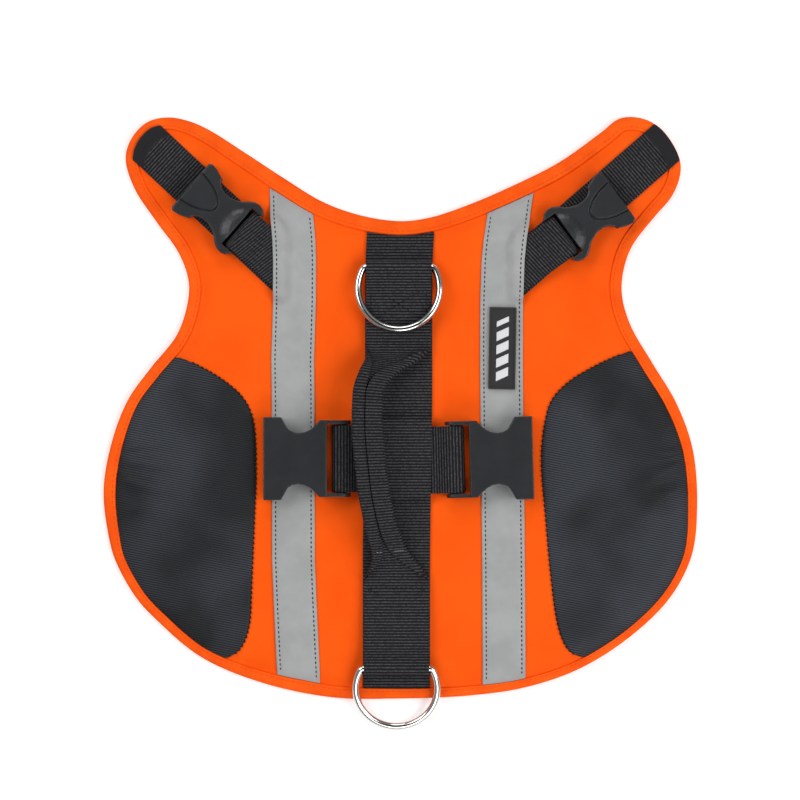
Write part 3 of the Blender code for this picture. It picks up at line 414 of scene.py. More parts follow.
# %% [markdown]
# ## Making a piece
#
# A piece is a list of points and a list of faces. One function makes a smooth mesh of them, which rides
# on the jacket and may stand for a plain solid. Another joins a run of cross-sections into one closed
# skin. A curve with a bevel would make strips too, but only ones with the same section all along.


# %% Points and faces into a piece
SHARP = math.radians(55)  # edges that turn more than this stay crisp


def place_piece(name, mesh, material, node=None, body="jacket"):
    """Gives a mesh its material and body, and lets it stand for a solid node."""
    mesh.materials.clear()
    mesh.materials.append(material)
    piece = bpy.data.objects.new(name, mesh)
    bpy.context.scene.collection.objects.link(piece)
    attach(piece, body)
    if node:
        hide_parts(node)
    print(f"{name}: {len(mesh.vertices)} corners, {len(mesh.polygons)} faces")
    return piece


def add_piece(name, points, faces, material, node_slot, node=None, threads=None):
    """A smooth piece from points in millimetres.

    threads gives each corner its place in the cloth, across and along it, for materials that need it.
    """
    mesh = bpy.data.meshes.new(name)
    mesh.from_pydata((np.asarray(points) * MM).tolist(), [], [tuple(map(int, f)) for f in faces])
    shape = bmesh.new()
    shape.from_mesh(mesh)
    bmesh.ops.recalc_face_normals(shape, faces=shape.faces)
    shape.to_mesh(mesh)
    shape.free()
    mesh.shade_smooth()
    mesh.set_sharp_from_angle(angle=SHARP)
    if threads is not None:
        corners = np.empty(len(mesh.loops), int)
        mesh.loops.foreach_get("vertex_index", corners)
        layer = mesh.uv_layers.new(name="threads")
        layer.uv.foreach_set("vector", np.asarray(threads)[corners].astype(np.float32).ravel())
    return place_piece(name, mesh, material, node)


def loft(sections, closed=False):
    """Faces round a run of sections that each go out along one side and back along the other."""
    rows, around = len(sections), len(sections[0])
    faces = []
    for row in range(rows if closed else rows - 1):
        here, there = row * around, (row + 1) % rows * around
        for k in range(around):
            other = (k + 1) % around
            faces.append((here + k, here + other, there + other, there + k))
    if not closed:
        for start in (0, (rows - 1) * around):
            back = start + around - 1
            faces += [(start + k, start + k + 1, back - k - 1, back - k) for k in range(around // 2 - 1)]
    return np.concatenate(sections), faces


def band(net, low, high):
    """A flat band from a net of points and the heights of its two faces."""
    over, under = (np.concatenate([net, z[..., None]], axis=-1) for z in (high, low))
    return loft([np.vstack([a, b[::-1]]) for a, b in zip(over, under, strict=True)])


square = np.array([(0, 0, 0), (1, 0, 0), (1, 1, 0), (0, 1, 0)])
print("a box lofted from two squares has", len(loft([square, square])[1]), "faces")

# %% [markdown]
# ## The orange shell
#
# The shell is plain-woven nylon with a thin coat, which is why it looks even and has only a faint sheen.
# Its threads are about 0.4 mm apart, finer than the render can hold, so the weave is kept shallow and
# only softens the shine.
#
# The pad itself is a fine net of triangles, since a grid of squares wouldn't follow its rim. Its height
# follows the depth inside the outline, and small puckers run in from the seam, as they do where a strip
# pulls foam and cloth together.

# %% Orange shell material
WEAVE = 0.8  # two threads, after which a plain weave repeats

# Dyed nylon under a coat: strong, even colour, almost no shine, and a slow drift where the foam shows.
shell = new_material("woven_nylon_orange", "FF5A04", 0.62, Specular_IOR_Level=0.1)
shell_place = millimetres(shell)
mottle(shell, shell_place, size=38, dark="FA5602", light="FF5D06")
weave = add_node(
    shell, "ShaderNodeTexBrick", [("Vector", shell_place, "Vector")],
    [("Scale", 1 / WEAVE), ("Mortar Size", 0.12), ("Mortar Smooth", 0.8), ("Row Height", 0.5)],
)
weave_depth = [("Strength", 0.5), ("Distance", -0.03 * MM)]
weave_bump = add_node(shell, "ShaderNodeBump", [("Height", weave, "Fac")], weave_depth)
grain(shell, shell_place, size=16, height=0.5, strength=0.5, detail=3, below=weave_bump)

# %% Orange pad
PAD_STEP = 3.0
ROW_STEP = 0.866 * PAD_STEP  # height of an even triangle
PAD_SINK = 0.16  # keeps the puckers clear of what lies on the pad
PUCKERS = ((17.3, 0.20, 0.4), (11.9, 0.14, 2.1), (29.0, 0.16, 4.0))  # length, height, phase
PUCKER_REACH, PUCKER_TOP = 6.0, 0.1
HOLLOWS = (  # x, y, across, along, heading in degrees, depth: soft dents in the foam
    (-92, 60, 26, 9, 24, 0.5),
    (-106, 84, 20, 6, -30, 0.35),
    (96, 64, 30, 10, 160, 0.5),
    (108, 88, 22, 6, 205, 0.35),
    (-36, 70, 12, 34, 5, 0.3),
    (34, 40, 11, 40, -4, 0.3),
    (-38, -92, 12, 34, 3, 0.3),
    (36, -96, 12, 30, -3, 0.3),
    (-75, -110, 8, 26, 12, 0.35),
    (76, -118, 8, 26, -10, 0.35),
    (-97, 73, 17, 3.2, 14, 0.3),
    (-106, 63, 13, 2.8, -5, 0.25),
    (-88, 50, 15, 3.4, 24, 0.25),
    (-113, 108, 12, 3.2, -48, 0.2),
    (113, 74, 11, 3.0, 166, 0.3),
    (117, 60, 13, 3.2, 186, 0.25),
    (98, 46, 14, 3.4, 152, 0.2),
    (126, 104, 12, 3.2, 226, 0.2),
)


def fill(outline, loose):
    """Triangles over an outline and the loose points inside it."""
    corners = [Vector(p) for p in (*outline, *loose)]
    return [tuple(f) for f in delaunay_2d_cdt(corners, [], [list(range(len(outline)))], 1, 1e-5)[2]]


def hollow_depth(points):
    """How far the soft dents lower the pad."""
    sink = np.zeros(len(points))
    for x, y, across, along, heading, depth in HOLLOWS:
        u, v = along_and_beside(points, x, y, heading)
        sink += depth * np.exp(-((u / across) ** 2) - (v / along) ** 2)
    return sink


low, high = EDGE.min(axis=0), EDGE.max(axis=0)
loose = []
for k, y in enumerate(np.arange(low[1], high[1], ROW_STEP)):
    loose += [(x, y) for x in np.arange(low[0] + k % 2 * PAD_STEP / 2, high[0], PAD_STEP)]
loose = np.array(loose)
deep, near = locate(loose)
loose, deep, near = (values[deep > SEAM_DEPTH + 0.5 * PAD_STEP] for values in (loose, deep, near))
pucker = ripple(near, PUCKERS) * np.exp(-(deep - SEAM_DEPTH) / PUCKER_REACH)
loose_z = pad_height(deep) - PAD_SINK + np.minimum(pucker, PUCKER_TOP) - hollow_depth(loose)
rim, seam = inset(RIM_DEPTH), inset(SEAM_DEPTH)
levels = ((seam, 0), (seam, RIM_LOW), (rim, RIM_LOW), (rim, RIM_HIGH), (seam, RIM_HIGH))
rings = [np.column_stack([ring, np.full(len(rim), z)]) for ring, z in levels]
points = np.vstack([*rings, np.column_stack([loose, loose_z])])
count, top = len(rim), 4 * len(rim)
faces = [face[::-1] for face in fill(seam, [])] + [[k + top for k in face] for face in fill(seam, loose)]
for here in range(0, top, count):
    there = here + count
    faces += [(here + k, here + (k + 1) % count, there + (k + 1) % count, there + k) for k in range(count)]
pad = add_piece("orange_pad", points, faces, shell, "orange_shell", "body_panel")

# %% [markdown]
# ## The binding
#
# A strip of the same orange cloth is folded round the rim and sewn through with one row of stitches. It
# is lofted: one cross-section, a slim U, is set at every few millimetres of the outline. The face is
# pressed down where the stitches run and puffs up on both sides of them.

# %% Binding material
# The same nylon without its foam: it is a little duller, and its folded cloth has small uneven cords.
binding = new_material("folded_nylon_binding", "FB5A08", 0.66, Specular_IOR_Level=0.1)
binding_place = millimetres(binding)
mottle(binding, binding_place, size=14, dark="F45408", light="FF600E")
grain(binding, binding_place, size=1.111, height=0.12, strength=0.6, detail=4, fineness=0.7)

# %% Binding strip
BIND_STITCH, BIND_STITCH_Z = 4.9, 4.42  # depth and height of the stitch row
BIND_RIPPLES = ((9.7, 0.07, 1.0), (6.1, 0.05, 3.0), (23.0, 0.08, 0.5))
BIND_PROFILE = (  # depth, z, share of the ripple
    (6.6, 4.3, 0.3), (6.45, 4.6, 0.4), (5.8, 4.68, 0.8), (BIND_STITCH, 4.4, 0.2), (4.0, 4.68, 1.0),
    (2.6, 4.7, 1.0), (1.3, 4.55, 0.7), (0.5, 4.1, 0.3), (0.1, 3.4, 0), (0, 2.3, 0), (0.15, 1.2, 0),
    (0.6, 0.4, 0), (1.4, 0.05, 0), (3.0, 0.0, 0), (6.6, 0.0, 0), (6.6, 0.8, 0), (3.0, 0.8, 0),
    (0.9, 0.85, 0), (0.8, 3.8, 0), (3.0, 3.85, 0), (5.5, 3.75, 0), (6.6, 3.8, 0),
)

bulge = ripple(EDGE_WAYS, BIND_RIPPLES)
rings = [np.column_stack([inset(d), z + share * bulge]) for d, z, share in BIND_PROFILE]
points, faces = loft([np.array(section) for section in zip(*rings, strict=True)], closed=True)
strip = add_piece("binding_strip", points, faces, binding, "orange_binding", "edge_binding")


# %% [markdown]
# ## Thread
#
# Stitches are what tells sewn cloth from printed cloth. Each one here is a short bowed thread with
# rounded ends, set every few millimetres along a seam. They are all made by one function that copies a
# small template to each mark, so that a row of two hundred costs little.


# %% Thread material
WAVE_BAND = math.pi / 10  # one band of the wave node is 2 pi over 20 of its scale
TWIST = 0.2618  # from strand to strand


def thread_material(name, colour):
    """Twisted polyester thread: a slight sheen, and a twist that only just shows."""
    material = new_material(name, colour, 0.6, Specular_IOR_Level=0.3)
    twist = add_node(
        material, "ShaderNodeTexWave", [("Vector", millimetres(material), "Vector")],
        [("Scale", WAVE_BAND / TWIST), ("Distortion", 1.5)], bands_direction="DIAGONAL",
    )
    add_node(material, "ShaderNodeBump", [("Height", twist, "Fac")], [("Distance", 0.03 * MM)], TO_NORMAL)
    return material


orange_thread = thread_material("thread_orange", "E84A06")
dark_thread = thread_material("thread_dark_grey", "28292B")
black_thread = thread_material("thread_black", "0F0F11")

# %% Stitches
SIDES = 5
STITCH_RINGS = ((-1.0, 0.35, 0.0), (-0.6, 0.9, 0.6), (0.0, 1.0, 1.0), (0.6, 0.9, 0.6), (1.0, 0.35, 0.0))
STITCH_FACES = [
    (ring + k, ring + (k + 1) % SIDES, ring + SIDES + (k + 1) % SIDES, ring + SIDES + k)
    for ring in range(0, (len(STITCH_RINGS) - 1) * SIDES, SIDES) for k in range(SIDES)
]
STITCH_FACES += [range(SIDES), range((len(STITCH_RINGS) - 1) * SIDES, len(STITCH_RINGS) * SIDES)]


def sew(name, paths, material, node_slot, pitch, length, thickness, lift=0.1):
    """Rows of stitches along paths of points in millimetres, the thread lying on the surface."""
    points, faces = [], []
    for path in paths:
        even, _ = walk(path, pitch)
        for middle, along in zip((even[1:] + even[:-1]) / 2, unit(np.diff(even, axis=0)), strict=True):
            across = unit(np.cross((0, 0, 1), along))
            up = np.cross(along, across)
            faces += [[len(points) + k for k in face] for face in STITCH_FACES]
            for run, wide, bow in STITCH_RINGS:
                reach = thickness / 2 * wide
                for side in range(SIDES):
                    angle = 2 * math.pi * side / SIDES
                    aside, rise = across * reach * math.cos(angle), lift * bow + reach * math.sin(angle)
                    points.append(middle + along * run * length / 2 + aside + up * rise)
    add_piece(name, points, faces, material, node_slot)


seam_line = np.column_stack([inset(BIND_STITCH), BIND_STITCH_Z + 0.2 * bulge])
seam_line = np.vstack([seam_line, seam_line[:1]])
sew("binding_stitches", [seam_line], orange_thread, "orange_binding", pitch=3.0, length=2.2, thickness=0.35)

# %% [markdown]
# ## The black side panels
#
# These are a finely ribbed knit that wears well where the jacket rubs. The cloth itself is made row by
# row, from the outer seam to the folded inner edge, where small stitches lie over the fold. Long creases
# and the troughs between them, each with its own heading and length, start at the outer seam where the
# pad curves down, and fade out towards the fold. A cloth simulation could find such creases, but not put
# each one in its place.

# %% Ribbed fabric material
KNIT_RIB = 1.3  # about 1 mm on the real cloth, drawn as coarse as it needs to show
KNIT_LEAN = math.radians(11)

# Black polyester knit, with painted shade in its grooves and painted soft grey light on its ribs.
knit = new_material("ribbed_knit_black", "25272C", 0.62, Specular_IOR_Level=0.35)
knit_place = millimetres(knit, KNIT_LEAN)
knit_rows = add_node(
    knit, "ShaderNodeTexWave", [("Vector", knit_place, "Vector")],
    [("Scale", WAVE_BAND / KNIT_RIB), ("Distortion", 0.6), ("Detail Scale", 0.6)],
    bands_direction="Y", wave_profile="SIN",
)
# Paler patches: partly a random drift of tone, partly painted sheen.
tone_and_sheen = add_node(
    knit, "ShaderNodeTexNoise", [("Vector", knit_place, "Vector")],
    [("Scale", 1 / 60), ("Detail", 2), ("Roughness", 0.45)],
)
knit_painted_rib_light, tone_and_sheen_shades = ((0.1, "0D0E12"), (0.9, "3B4049")), ((0.4, "808084"), (0.6, "FFFFFF"))
ribs_and_spots(knit, knit_rows, knit_painted_rib_light, tone_and_sheen, "Fac", tone_and_sheen_shades)
rib_depth = [("Strength", 0.8), ("Distance", 0.16 * MM)]
add_node(knit, "ShaderNodeBump", [("Height", knit_rows, "Fac")], rib_depth, TO_NORMAL)

# %% Side panels
SIDE_LEFT = (  # x, y
    (-123.5, 37), (-112, 31.6), (-99.8, 24.3), (-88.8, 14.6), (-83.2, 3), (-81.3, -26), (-82.2, -55),
    (-83.6, -88), (-84, -100), (-84.8, -112), (-87.6, -122.5), (-91.5, -128.5), (-96, -131.5),
)
SIDE_RIGHT = (  # x, y
    (131.5, 41.5), (117, 35.8), (105.5, 30), (94.5, 23), (85.2, 12.8), (81.2, -1), (79.5, -21),
    (81.5, -49), (85, -88), (88.1, -111), (91.3, -122), (95.5, -128.5), (102, -132),
)
SIDE_COLUMNS = 34
SIDE_ROW, SIDE_END = 1.2, 0.6  # between rows, and from the first row to the panel's tip
HEM_ROUND, HEM_DROP = 1.3, 0.7  # width of the folded edge, and its drop in shares of the cloth
HEM_ROW, HEM_ROW_Z = -0.1, 0.6  # of the stitches: outwards from the fold's edge, and up in the cloth
HEM_ENDS = 3  # points of the fold without stitches at each end
CREASE_FADE, TROUGH_DEPTH = 9, 0.6  # distance from the fold, and the deepest in shares of the cloth
SIDE_CREASES = (  # x, y, heading in degrees, length, width, height: troughs have a negative one
    (-146, -12, 12, 34, 2.4, 1.8),
    (-143, -17, 4, 34, 2.2, -0.9),
    (-142, -22, -6, 44, 3.0, 1.5),
    (-144, -28, -10, 38, 2.4, -0.8),
    (-145, -34, -14, 40, 3.2, 1.9),
    (-145, -41, -6, 32, 2.4, -0.7),
    (-146, -48, 3, 30, 2.8, 1.1),
    (-137, -61, -18, 36, 3.6, 0.9),
    (-118, 16, -38, 44, 4.2, 1.2),
    (-126, 4, -30, 52, 4.8, 0.9),
    (-128, -84, 30, 44, 5.0, 0.9),
    (-112, -100, 38, 40, 5.0, 0.75),
    (150, -17, 190, 28, 2.4, 2.1),
    (148, -22, 198, 30, 2.2, -1.0),
    (146, -28, 206, 34, 2.6, 1.9),
    (149, -34, 203, 30, 2.2, -1.0),
    (150, -40, 198, 30, 2.8, 2.0),
    (141, -48, 226, 44, 3.6, 1.1),
    (120, 10, 238, 46, 5.0, 1.1),
    (128, -78, 150, 40, 4.6, 0.9),
    (112, -96, 132, 44, 5.5, 0.9),
    (118, -50, 214, 66, 5.0, 0.8),
)


def side_panel(side, sign, inner_table):
    """Makes a panel of rows from its seam to its fold, and returns the line of its stitches."""
    inner = spline(inner_table, 6)
    ring = inset(SEAM_DEPTH)
    ends = [int(np.argmin(np.hypot(*(ring - inner[k]).T))) for k in (0, -1)]
    run = ring[min(ends) : max(ends) + 1]
    inner[0], inner[-1] = ring[ends[0]], ring[ends[1]]
    outer_by_y, inner_by_y = run[np.argsort(run[:, 1])], inner[np.argsort(inner[:, 1])]
    low, high = inner_by_y[0, 1] + SIDE_END, inner_by_y[-1, 1] - SIDE_END
    rows = np.linspace(low, high, round((high - low) / SIDE_ROW) + 1)
    from_x = np.interp(rows, outer_by_y[:, 1], outer_by_y[:, 0])
    to_x = np.interp(rows, inner_by_y[:, 1], inner_by_y[:, 0])
    share = np.linspace(0, 1, SIDE_COLUMNS)
    share = 0.5 * share + 0.5 * smooth_step(share)  # closer together at both edges
    x = from_x[:, None] + (to_x - from_x)[:, None] * share
    net = np.stack([x, np.broadcast_to(rows[:, None], x.shape)], axis=-1)
    low_z = ground(net) + LAID
    inwards = np.abs(x - to_x[:, None])
    hem = np.clip(1 - inwards / HEM_ROUND, 0, 1) ** 2
    creased = np.maximum(crease_height(net.reshape(-1, 2), SIDE_CREASES), -TROUGH_DEPTH * CLOTH)
    creased = creased.reshape(x.shape) * smooth_step(inwards / CREASE_FADE)
    high_z = low_z + CLOTH + creased - HEM_DROP * CLOTH * hem
    points, faces = band(net, low_z, high_z)
    name = f"side_panel_{side}"
    piece = add_piece(f"side_cloth_{side}", points, faces, knit, "black_rib_fabric", name)
    hem_line = inner[HEM_ENDS:-HEM_ENDS]
    ahead = unit(np.gradient(hem_line, axis=0))
    row_line = hem_line + sign * np.column_stack([-ahead[:, 1], ahead[:, 0]]) * HEM_ROW
    return np.column_stack([row_line, ground(row_line) + HEM_ROW_Z * CLOTH])


hem_rows = [side_panel("left", -1, SIDE_LEFT), side_panel("right", 1, SIDE_RIGHT)]
sew("side_panel_stitches", hem_rows, black_thread, "black_rib_fabric", pitch=2.8, length=1.7, thickness=0.9)

# %% [markdown]
# ## Reflective tapes
#
# The two grey bands are glass-bead tape: a cloth coated with tiny beads that throw light straight back.
# It is edge-stitched with dark thread, and it lifts where the straps of the neck run in under it. A
# band's net of points is made of lines that each end at the outline's seam, so its ends are cut to the
# curve as a real tape's are by the binding.

# %% Tape material
# Glass beads in clear lacquer: a flat, slightly cloudy grey with a dry shine. The beads are only about
# 0.05 mm wide, and their grain is drawn as coarse as it needs to show.
beads = new_material("glass_bead_tape", "A1A2A2", 0.5, Specular_IOR_Level=0.3)
beads_place = millimetres(beads)
mottle(beads, beads_place, size=18, dark="9C9D9D", light="A6A7A7")
grain(beads, beads_place, size=0.4545, height=0.05, strength=0.5)

# %% Bands from seam to seam
BEYOND, WITHIN = 185, 60  # y outside both ends of the jacket, and well inside them
CROSSING_STEPS = 400


def crossing(path, start, stop, level):
    """Where a straight run first lies this deep inside the outline."""
    ways = np.linspace(start, stop, CROSSING_STEPS)
    deep = locate(np.array([path(way) for way in ways]))[0]
    index = int(np.argmax(deep >= level))
    share = (level - deep[index - 1]) / (deep[index] - deep[index - 1])
    return ways[index - 1] + share * (ways[index] - ways[index - 1])


def middle_line(table, column=1):
    """The line that a table of y and x gives, as a function of y."""
    rows = np.array(table)[::-1]
    return lambda y: np.interp(y, rows[:, 0], rows[:, column])


def lengthwise(middle_x, offsets, step):
    """A net of points from seam to seam: one line for each offset from the band's middle."""
    ends = []
    for offset in offsets:
        path = lambda y: (middle_x(y) + offset, y)
        ends.append([crossing(path, sign * BEYOND, sign * WITHIN, SEAM_DEPTH) for sign in (1, -1)])
    ends = np.array(ends)
    rows = round((ends[:, 0] - ends[:, 1]).mean() / step) + 1
    ys = np.linspace(ends[:, 0], ends[:, 1], rows)
    return np.stack([middle_x(ys) + np.asarray(offsets), ys], axis=-1)


def lay_band(name, net, low, high, material, node_slot, node, length, threads=None):
    """A flat band of cloth on the pad, with the size that it is cut to."""
    piece = add_piece(name, *band(net, low, high), material, node_slot, node, threads)
    print(node, "is cut", round(length), "mm long")


middle_ends = lengthwise(middle_line([(0, 0)]), [0], 10)[[0, -1], 0, 1]
print("a band down the middle runs from y", round(middle_ends[0]), "to", round(middle_ends[1]), "mm")

# %% Where the neck straps lift the tapes
TAPE_OUTER = (-71.6, 70.1)
NECK_BUCKLES = (  # side, x, y of the bar, heading of the socket in degrees
    ("left", -88.5, 107.9, 139.0),
    ("right", 91.0, 104.8, 36.0),
)
NECK_WEB, NECK_HALF = 1.0, 12.4  # thickness and half the width of the neck's webbing
STRAP_TUCK, STRAP_MARGIN = 3.2, 0.8  # how far it goes in under the tape, and the room beside it
STRAP_FADE, STRAP_RISE = 9.0, 4.15  # length of the slope round it, and height of its layers
TAPE_FLAT, TAPE_LIFT = 65.5, 7.0  # the tape is flat below this y, and free to rise this far above it


def strap_rise(points):
    """How high the tape is lifted by the layers of strap that end under it."""
    rise = np.zeros(len(points))
    for (_, x, y, heading), tape_edge in zip(NECK_BUCKLES, TAPE_OUTER, strict=True):
        beside = np.abs(along_and_beside(points, x, y, heading)[1]) - NECK_HALF - STRAP_MARGIN
        beyond = np.abs(tape_edge - points[:, 0]) - STRAP_TUCK - STRAP_MARGIN
        beyond = np.where(np.abs(points[:, 0]) > abs(tape_edge), 0, beyond)
        away = np.hypot(np.maximum(beside, 0), np.maximum(beyond, 0))
        same_side = points[:, 0] * tape_edge > 0
        rise = np.maximum(rise, np.where(same_side, STRAP_RISE * (1 - smooth_step(away / STRAP_FADE)), 0))
    return rise * smooth_step((points[:, 1] - TAPE_FLAT) / TAPE_LIFT)


print("the tapes rise by", np.round(strap_rise(np.array([(-68, 95), (-68, 40)])), 1), "mm at y 95 and 40")

# %% Tapes
TAPE_HALF = 12.1
TAPE_LINE = (  # y, x of the left tape, x of the right tape
    (130, -61.4, 62.9), (117, -61.1, 61.0), (103, -59.9, 58.9), (92, -59.5, 57.8), (69, -59.6, 57.0),
    (36, -60.6, 56.9), (13, -60.3, 57.1), (-77, -60.2, 58.05), (-99.5, -59.3, 58.2), (-140, -57.4, 58.4),
)
TAPE_STITCH = 2.1  # from the tape's edge
TAPE_COLUMNS = (0, 0.3, 0.9, 1.6, TAPE_STITCH, 2.6, 3.6, 4.8, 6.0, 7.2, 8.4, 9.6, 10.8)  # from its edge
TAPE_ROW = 1.3
TAPE_GROOVE, TAPE_GROOVE_WIDTH = 0.28, 0.7  # where the thread pulls it down
TAPE_ROUND, TAPE_ROUND_WIDTH = 0.5, 0.9  # at the cut edge
TAPE_RIPPLES = ((31.0, 0.10, 0.3), (13.7, 0.05, 1.9), (52.0, 0.12, 4.4))
TAPE_CREASES = (  # as for the side panels
    (-67, 112, -58, 17, 1.3, 0.63),
    (-62, 104, 35, 20, 1.5, 0.69),
    (-65, 97, 14, 16, 1.3, 0.5),
    (-60, 87, 38, 22, 1.7, 0.63),
    (-66, 81, 62, 14, 1.3, 0.44),
    (-57, 60, -22, 15, 1.6, 0.32),
    (-62, -48, 12, 16, 1.8, 0.25),
    (-58, -96, -16, 18, 2.0, 0.32),
    (64, 108, 118, 18, 1.4, 0.63),
    (60, 99, 150, 19, 1.5, 0.63),
    (57, 88, 128, 22, 1.8, 0.57),
    (63, 79, 166, 14, 1.3, 0.38),
    (58, 14, 172, 15, 1.7, 0.25),
    (55, -70, 20, 17, 2.0, 0.32),
    (60, -118, 164, 16, 1.8, 0.25),
)

from_edge = np.array(TAPE_COLUMNS)
offsets = np.concatenate([from_edge - TAPE_HALF, [0], TAPE_HALF - from_edge[::-1]])
from_edge = TAPE_HALF - np.abs(offsets)
pulled_down = TAPE_GROOVE * np.exp(-(((from_edge - TAPE_STITCH) / TAPE_GROOVE_WIDTH) ** 2))
rounded = TAPE_ROUND * np.clip(1 - from_edge / TAPE_ROUND_WIDTH, 0, 1) ** 2
calmer = 0.4 + 0.6 * np.cos(offsets / TAPE_HALF * 1.5)  # towards both edges, which are sewn down
tape_rows = []
for column, side in enumerate(("left", "right"), start=1):
    net = lengthwise(middle_line(TAPE_LINE, column), offsets, TAPE_ROW)
    flat = net.reshape(-1, 2)
    low = ground(net) + strap_rise(flat).reshape(net.shape[:2]) + LAID
    waves = ripple(net[..., 1], TAPE_RIPPLES) * calmer
    creased = crease_height(flat, TAPE_CREASES).reshape(net.shape[:2])
    high = low + CLOTH + waves + creased - pulled_down - rounded
    name, length = f"reflective_tape_{side}", float(np.ptp(net[..., 1]))
    lay_band(f"grey_tape_{side}", net, low, high, beads, "reflective_tape", name, length)
    stitched = TAPE_COLUMNS.index(TAPE_STITCH)
    for line in (stitched, -1 - stitched):
        tape_rows.append(np.column_stack([net[2:-2, line], high[2:-2, line]]))
sew("tape_stitches", tape_rows, dark_thread, "reflective_tape", pitch=2.6, length=1.5, thickness=0.75)

# %% [markdown]
# ## Webbing
#
# Webbing is woven flat, with a rib at every pass of the weft. The ribs lie 1.7 mm apart and are what
# catches the light, so they are real grooves in the mesh. The warp threads that float over them are too
# fine for that, and the material draws them. It is laid out by the webbing's own threads, across and
# along, so that ribs and floats follow every loop and fold.

# %% Webbing material
RIB = 1.7
RIB_FLOAT = 0.95  # about 0.5 mm on the real webbing, drawn as coarse as it needs to show

# Black polyester yarn: matt, with painted shade in the grooves and a painted grey highlight on the ribs.
webbing = new_material("polyester_webbing_black", "302F32", 0.78, Specular_IOR_Level=0.25)
webbing_place = add_node(webbing, "ShaderNodeUVMap", uv_map="threads")
passes = add_node(
    webbing, "ShaderNodeTexWave", [("Vector", webbing_place, "UV")],
    [("Scale", WAVE_BAND / RIB), ("Distortion", 0.5), ("Detail Scale", 1.5), ("Phase Offset", math.pi)],
    bands_direction="Y", wave_profile="SIN",
)
floats = add_node(
    webbing, "ShaderNodeTexVoronoi", [("Vector", webbing_place, "UV")], [("Scale", 1 / RIB_FLOAT)]
)
# Painted shade in the grooves between ribs, painted light on the ribs themselves.
pass_painted_light = ((0.1, "0C0C0E"), (0.5, "232225"), (0.9, "515054"))
float_shades = ((0.05, "FFFFFF"), (0.75, "A2A2A4"))
ribs_and_spots(webbing, passes, pass_painted_light, floats, "Distance", float_shades)
float_depth = [("Strength", 0.6), ("Distance", -0.12 * MM)]
add_node(webbing, "ShaderNodeBump", [("Height", floats, "Distance")], float_depth, TO_NORMAL)

# %% Ribs and selvedges
WEB, WEB_GROOVE = 1.5, 0.3  # thickness on a rib, and depth of the groove on each face
SELVEDGE, SELVEDGE_THIN = 0.8, 0.42  # width, and how far each face draws in


def across_steps(half, count=13):
    """Offsets across webbing, closer together at its two selvedges."""
    inner = np.linspace(-half + 1.0, half - 1.0, count - 4)
    return np.concatenate([[-half, -half + 0.35], inner, [half - 0.35, half]])


def thinning(offsets, half):
    """How much the faces draw in towards each other at the selvedges."""
    return SELVEDGE_THIN * np.clip(1 - (half - np.abs(offsets)) / SELVEDGE, 0, 1) ** 1.5


def rib_groove(ways):
    """How deep the webbing is grooved some way along: not at all on a rib."""
    return WEB_GROOVE * (0.5 - 0.5 * np.cos(2 * math.pi * ways / RIB)) ** 1.2


def band_threads(offsets, ways):
    """The place in the cloth of each corner that band makes."""
    places = np.stack([np.broadcast_to(offsets, ways.shape), ways], axis=-1)
    return np.concatenate([np.vstack([row, row[::-1]]) for row in places])


print("each face is grooved by", rib_groove(np.array([0, RIB / 2])), "mm on a rib and between two")

# %% Back webbing
BACK_HALF, HANDLE_HALF, BELLY_HALF = 18.9, 18.4, 18.8
BACK_OVER, BACK_FADE = 2.2, 5  # how far past the belly webbing it stays up, and then comes down
BACK_LINE = (  # y, x
    (112, 0.3), (88, -0.9), (60, -0.9), (10, -1.0), (-30, -1.6), (-70, -2.2), (-150, -2.2),
)
BELLY_BUCKLES = (  # side, x, y of the bar, heading of the socket in degrees
    ("left", -32.4, -19.8, 180.0),
    ("right", 30.1, -20.4, 1.5),
)

back_middle = middle_line(BACK_LINE)
offsets = across_steps(BACK_HALF)
net = lengthwise(back_middle, offsets, RIB / 4)
ways = net[..., 1]
crossed = np.abs(ways - BELLY_BUCKLES[0][2]) - BELLY_HALF - BACK_OVER
low = ground(net) + 2 * (WEB + GAP) * (1 - smooth_step(crossed / BACK_FADE)) + GAP
narrow = thinning(offsets, BACK_HALF)
lay_band(
    "back_strap", net, low + narrow, low + WEB - rib_groove(ways) - narrow, webbing, "black_webbing",
    "back_webbing", float(np.ptp(ways)), band_threads(offsets, ways),
)

# %% [markdown]
# ## Loops round the bars
#
# Where webbing meets a buckle or a ring it turns round the bar and comes back on itself. The path of such
# a loop is drawn from the side: a lower leg, a half circle round the bar, and an upper leg that settles
# onto the lower one. Webbing is then swept along it, a cross-section at each quarter of a rib.

# %% Loop paths
BAR_PLAY = 0.3
SETTLE, SETTLE_SHARE = 15.0, 0.72  # length in which the legs close up, at most this share of a leg
LEG_STEPS, LOOP_STEPS = 24, 16


def loop_path(reach, bar_z, bend, low, high, slack=0.0):
    """Middle line of webbing round a bar, as (distance inwards, height)."""
    ways = np.linspace(1.0, 0.02, LEG_STEPS) * reach
    closing = smooth_step(ways / min(SETTLE, SETTLE_SHARE * reach))
    lower = np.column_stack([ways, bar_z - bend + (low - bar_z + bend) * closing])
    upper = np.column_stack([ways, bar_z + bend + (high - bar_z - bend) * closing])[::-1]
    angles = np.linspace(-math.pi / 2, math.pi / 2, LOOP_STEPS + 1)
    turn = np.column_stack([-slack - bend * np.cos(angles), bar_z + bend * np.sin(angles)])
    return np.vstack([lower, turn, upper])


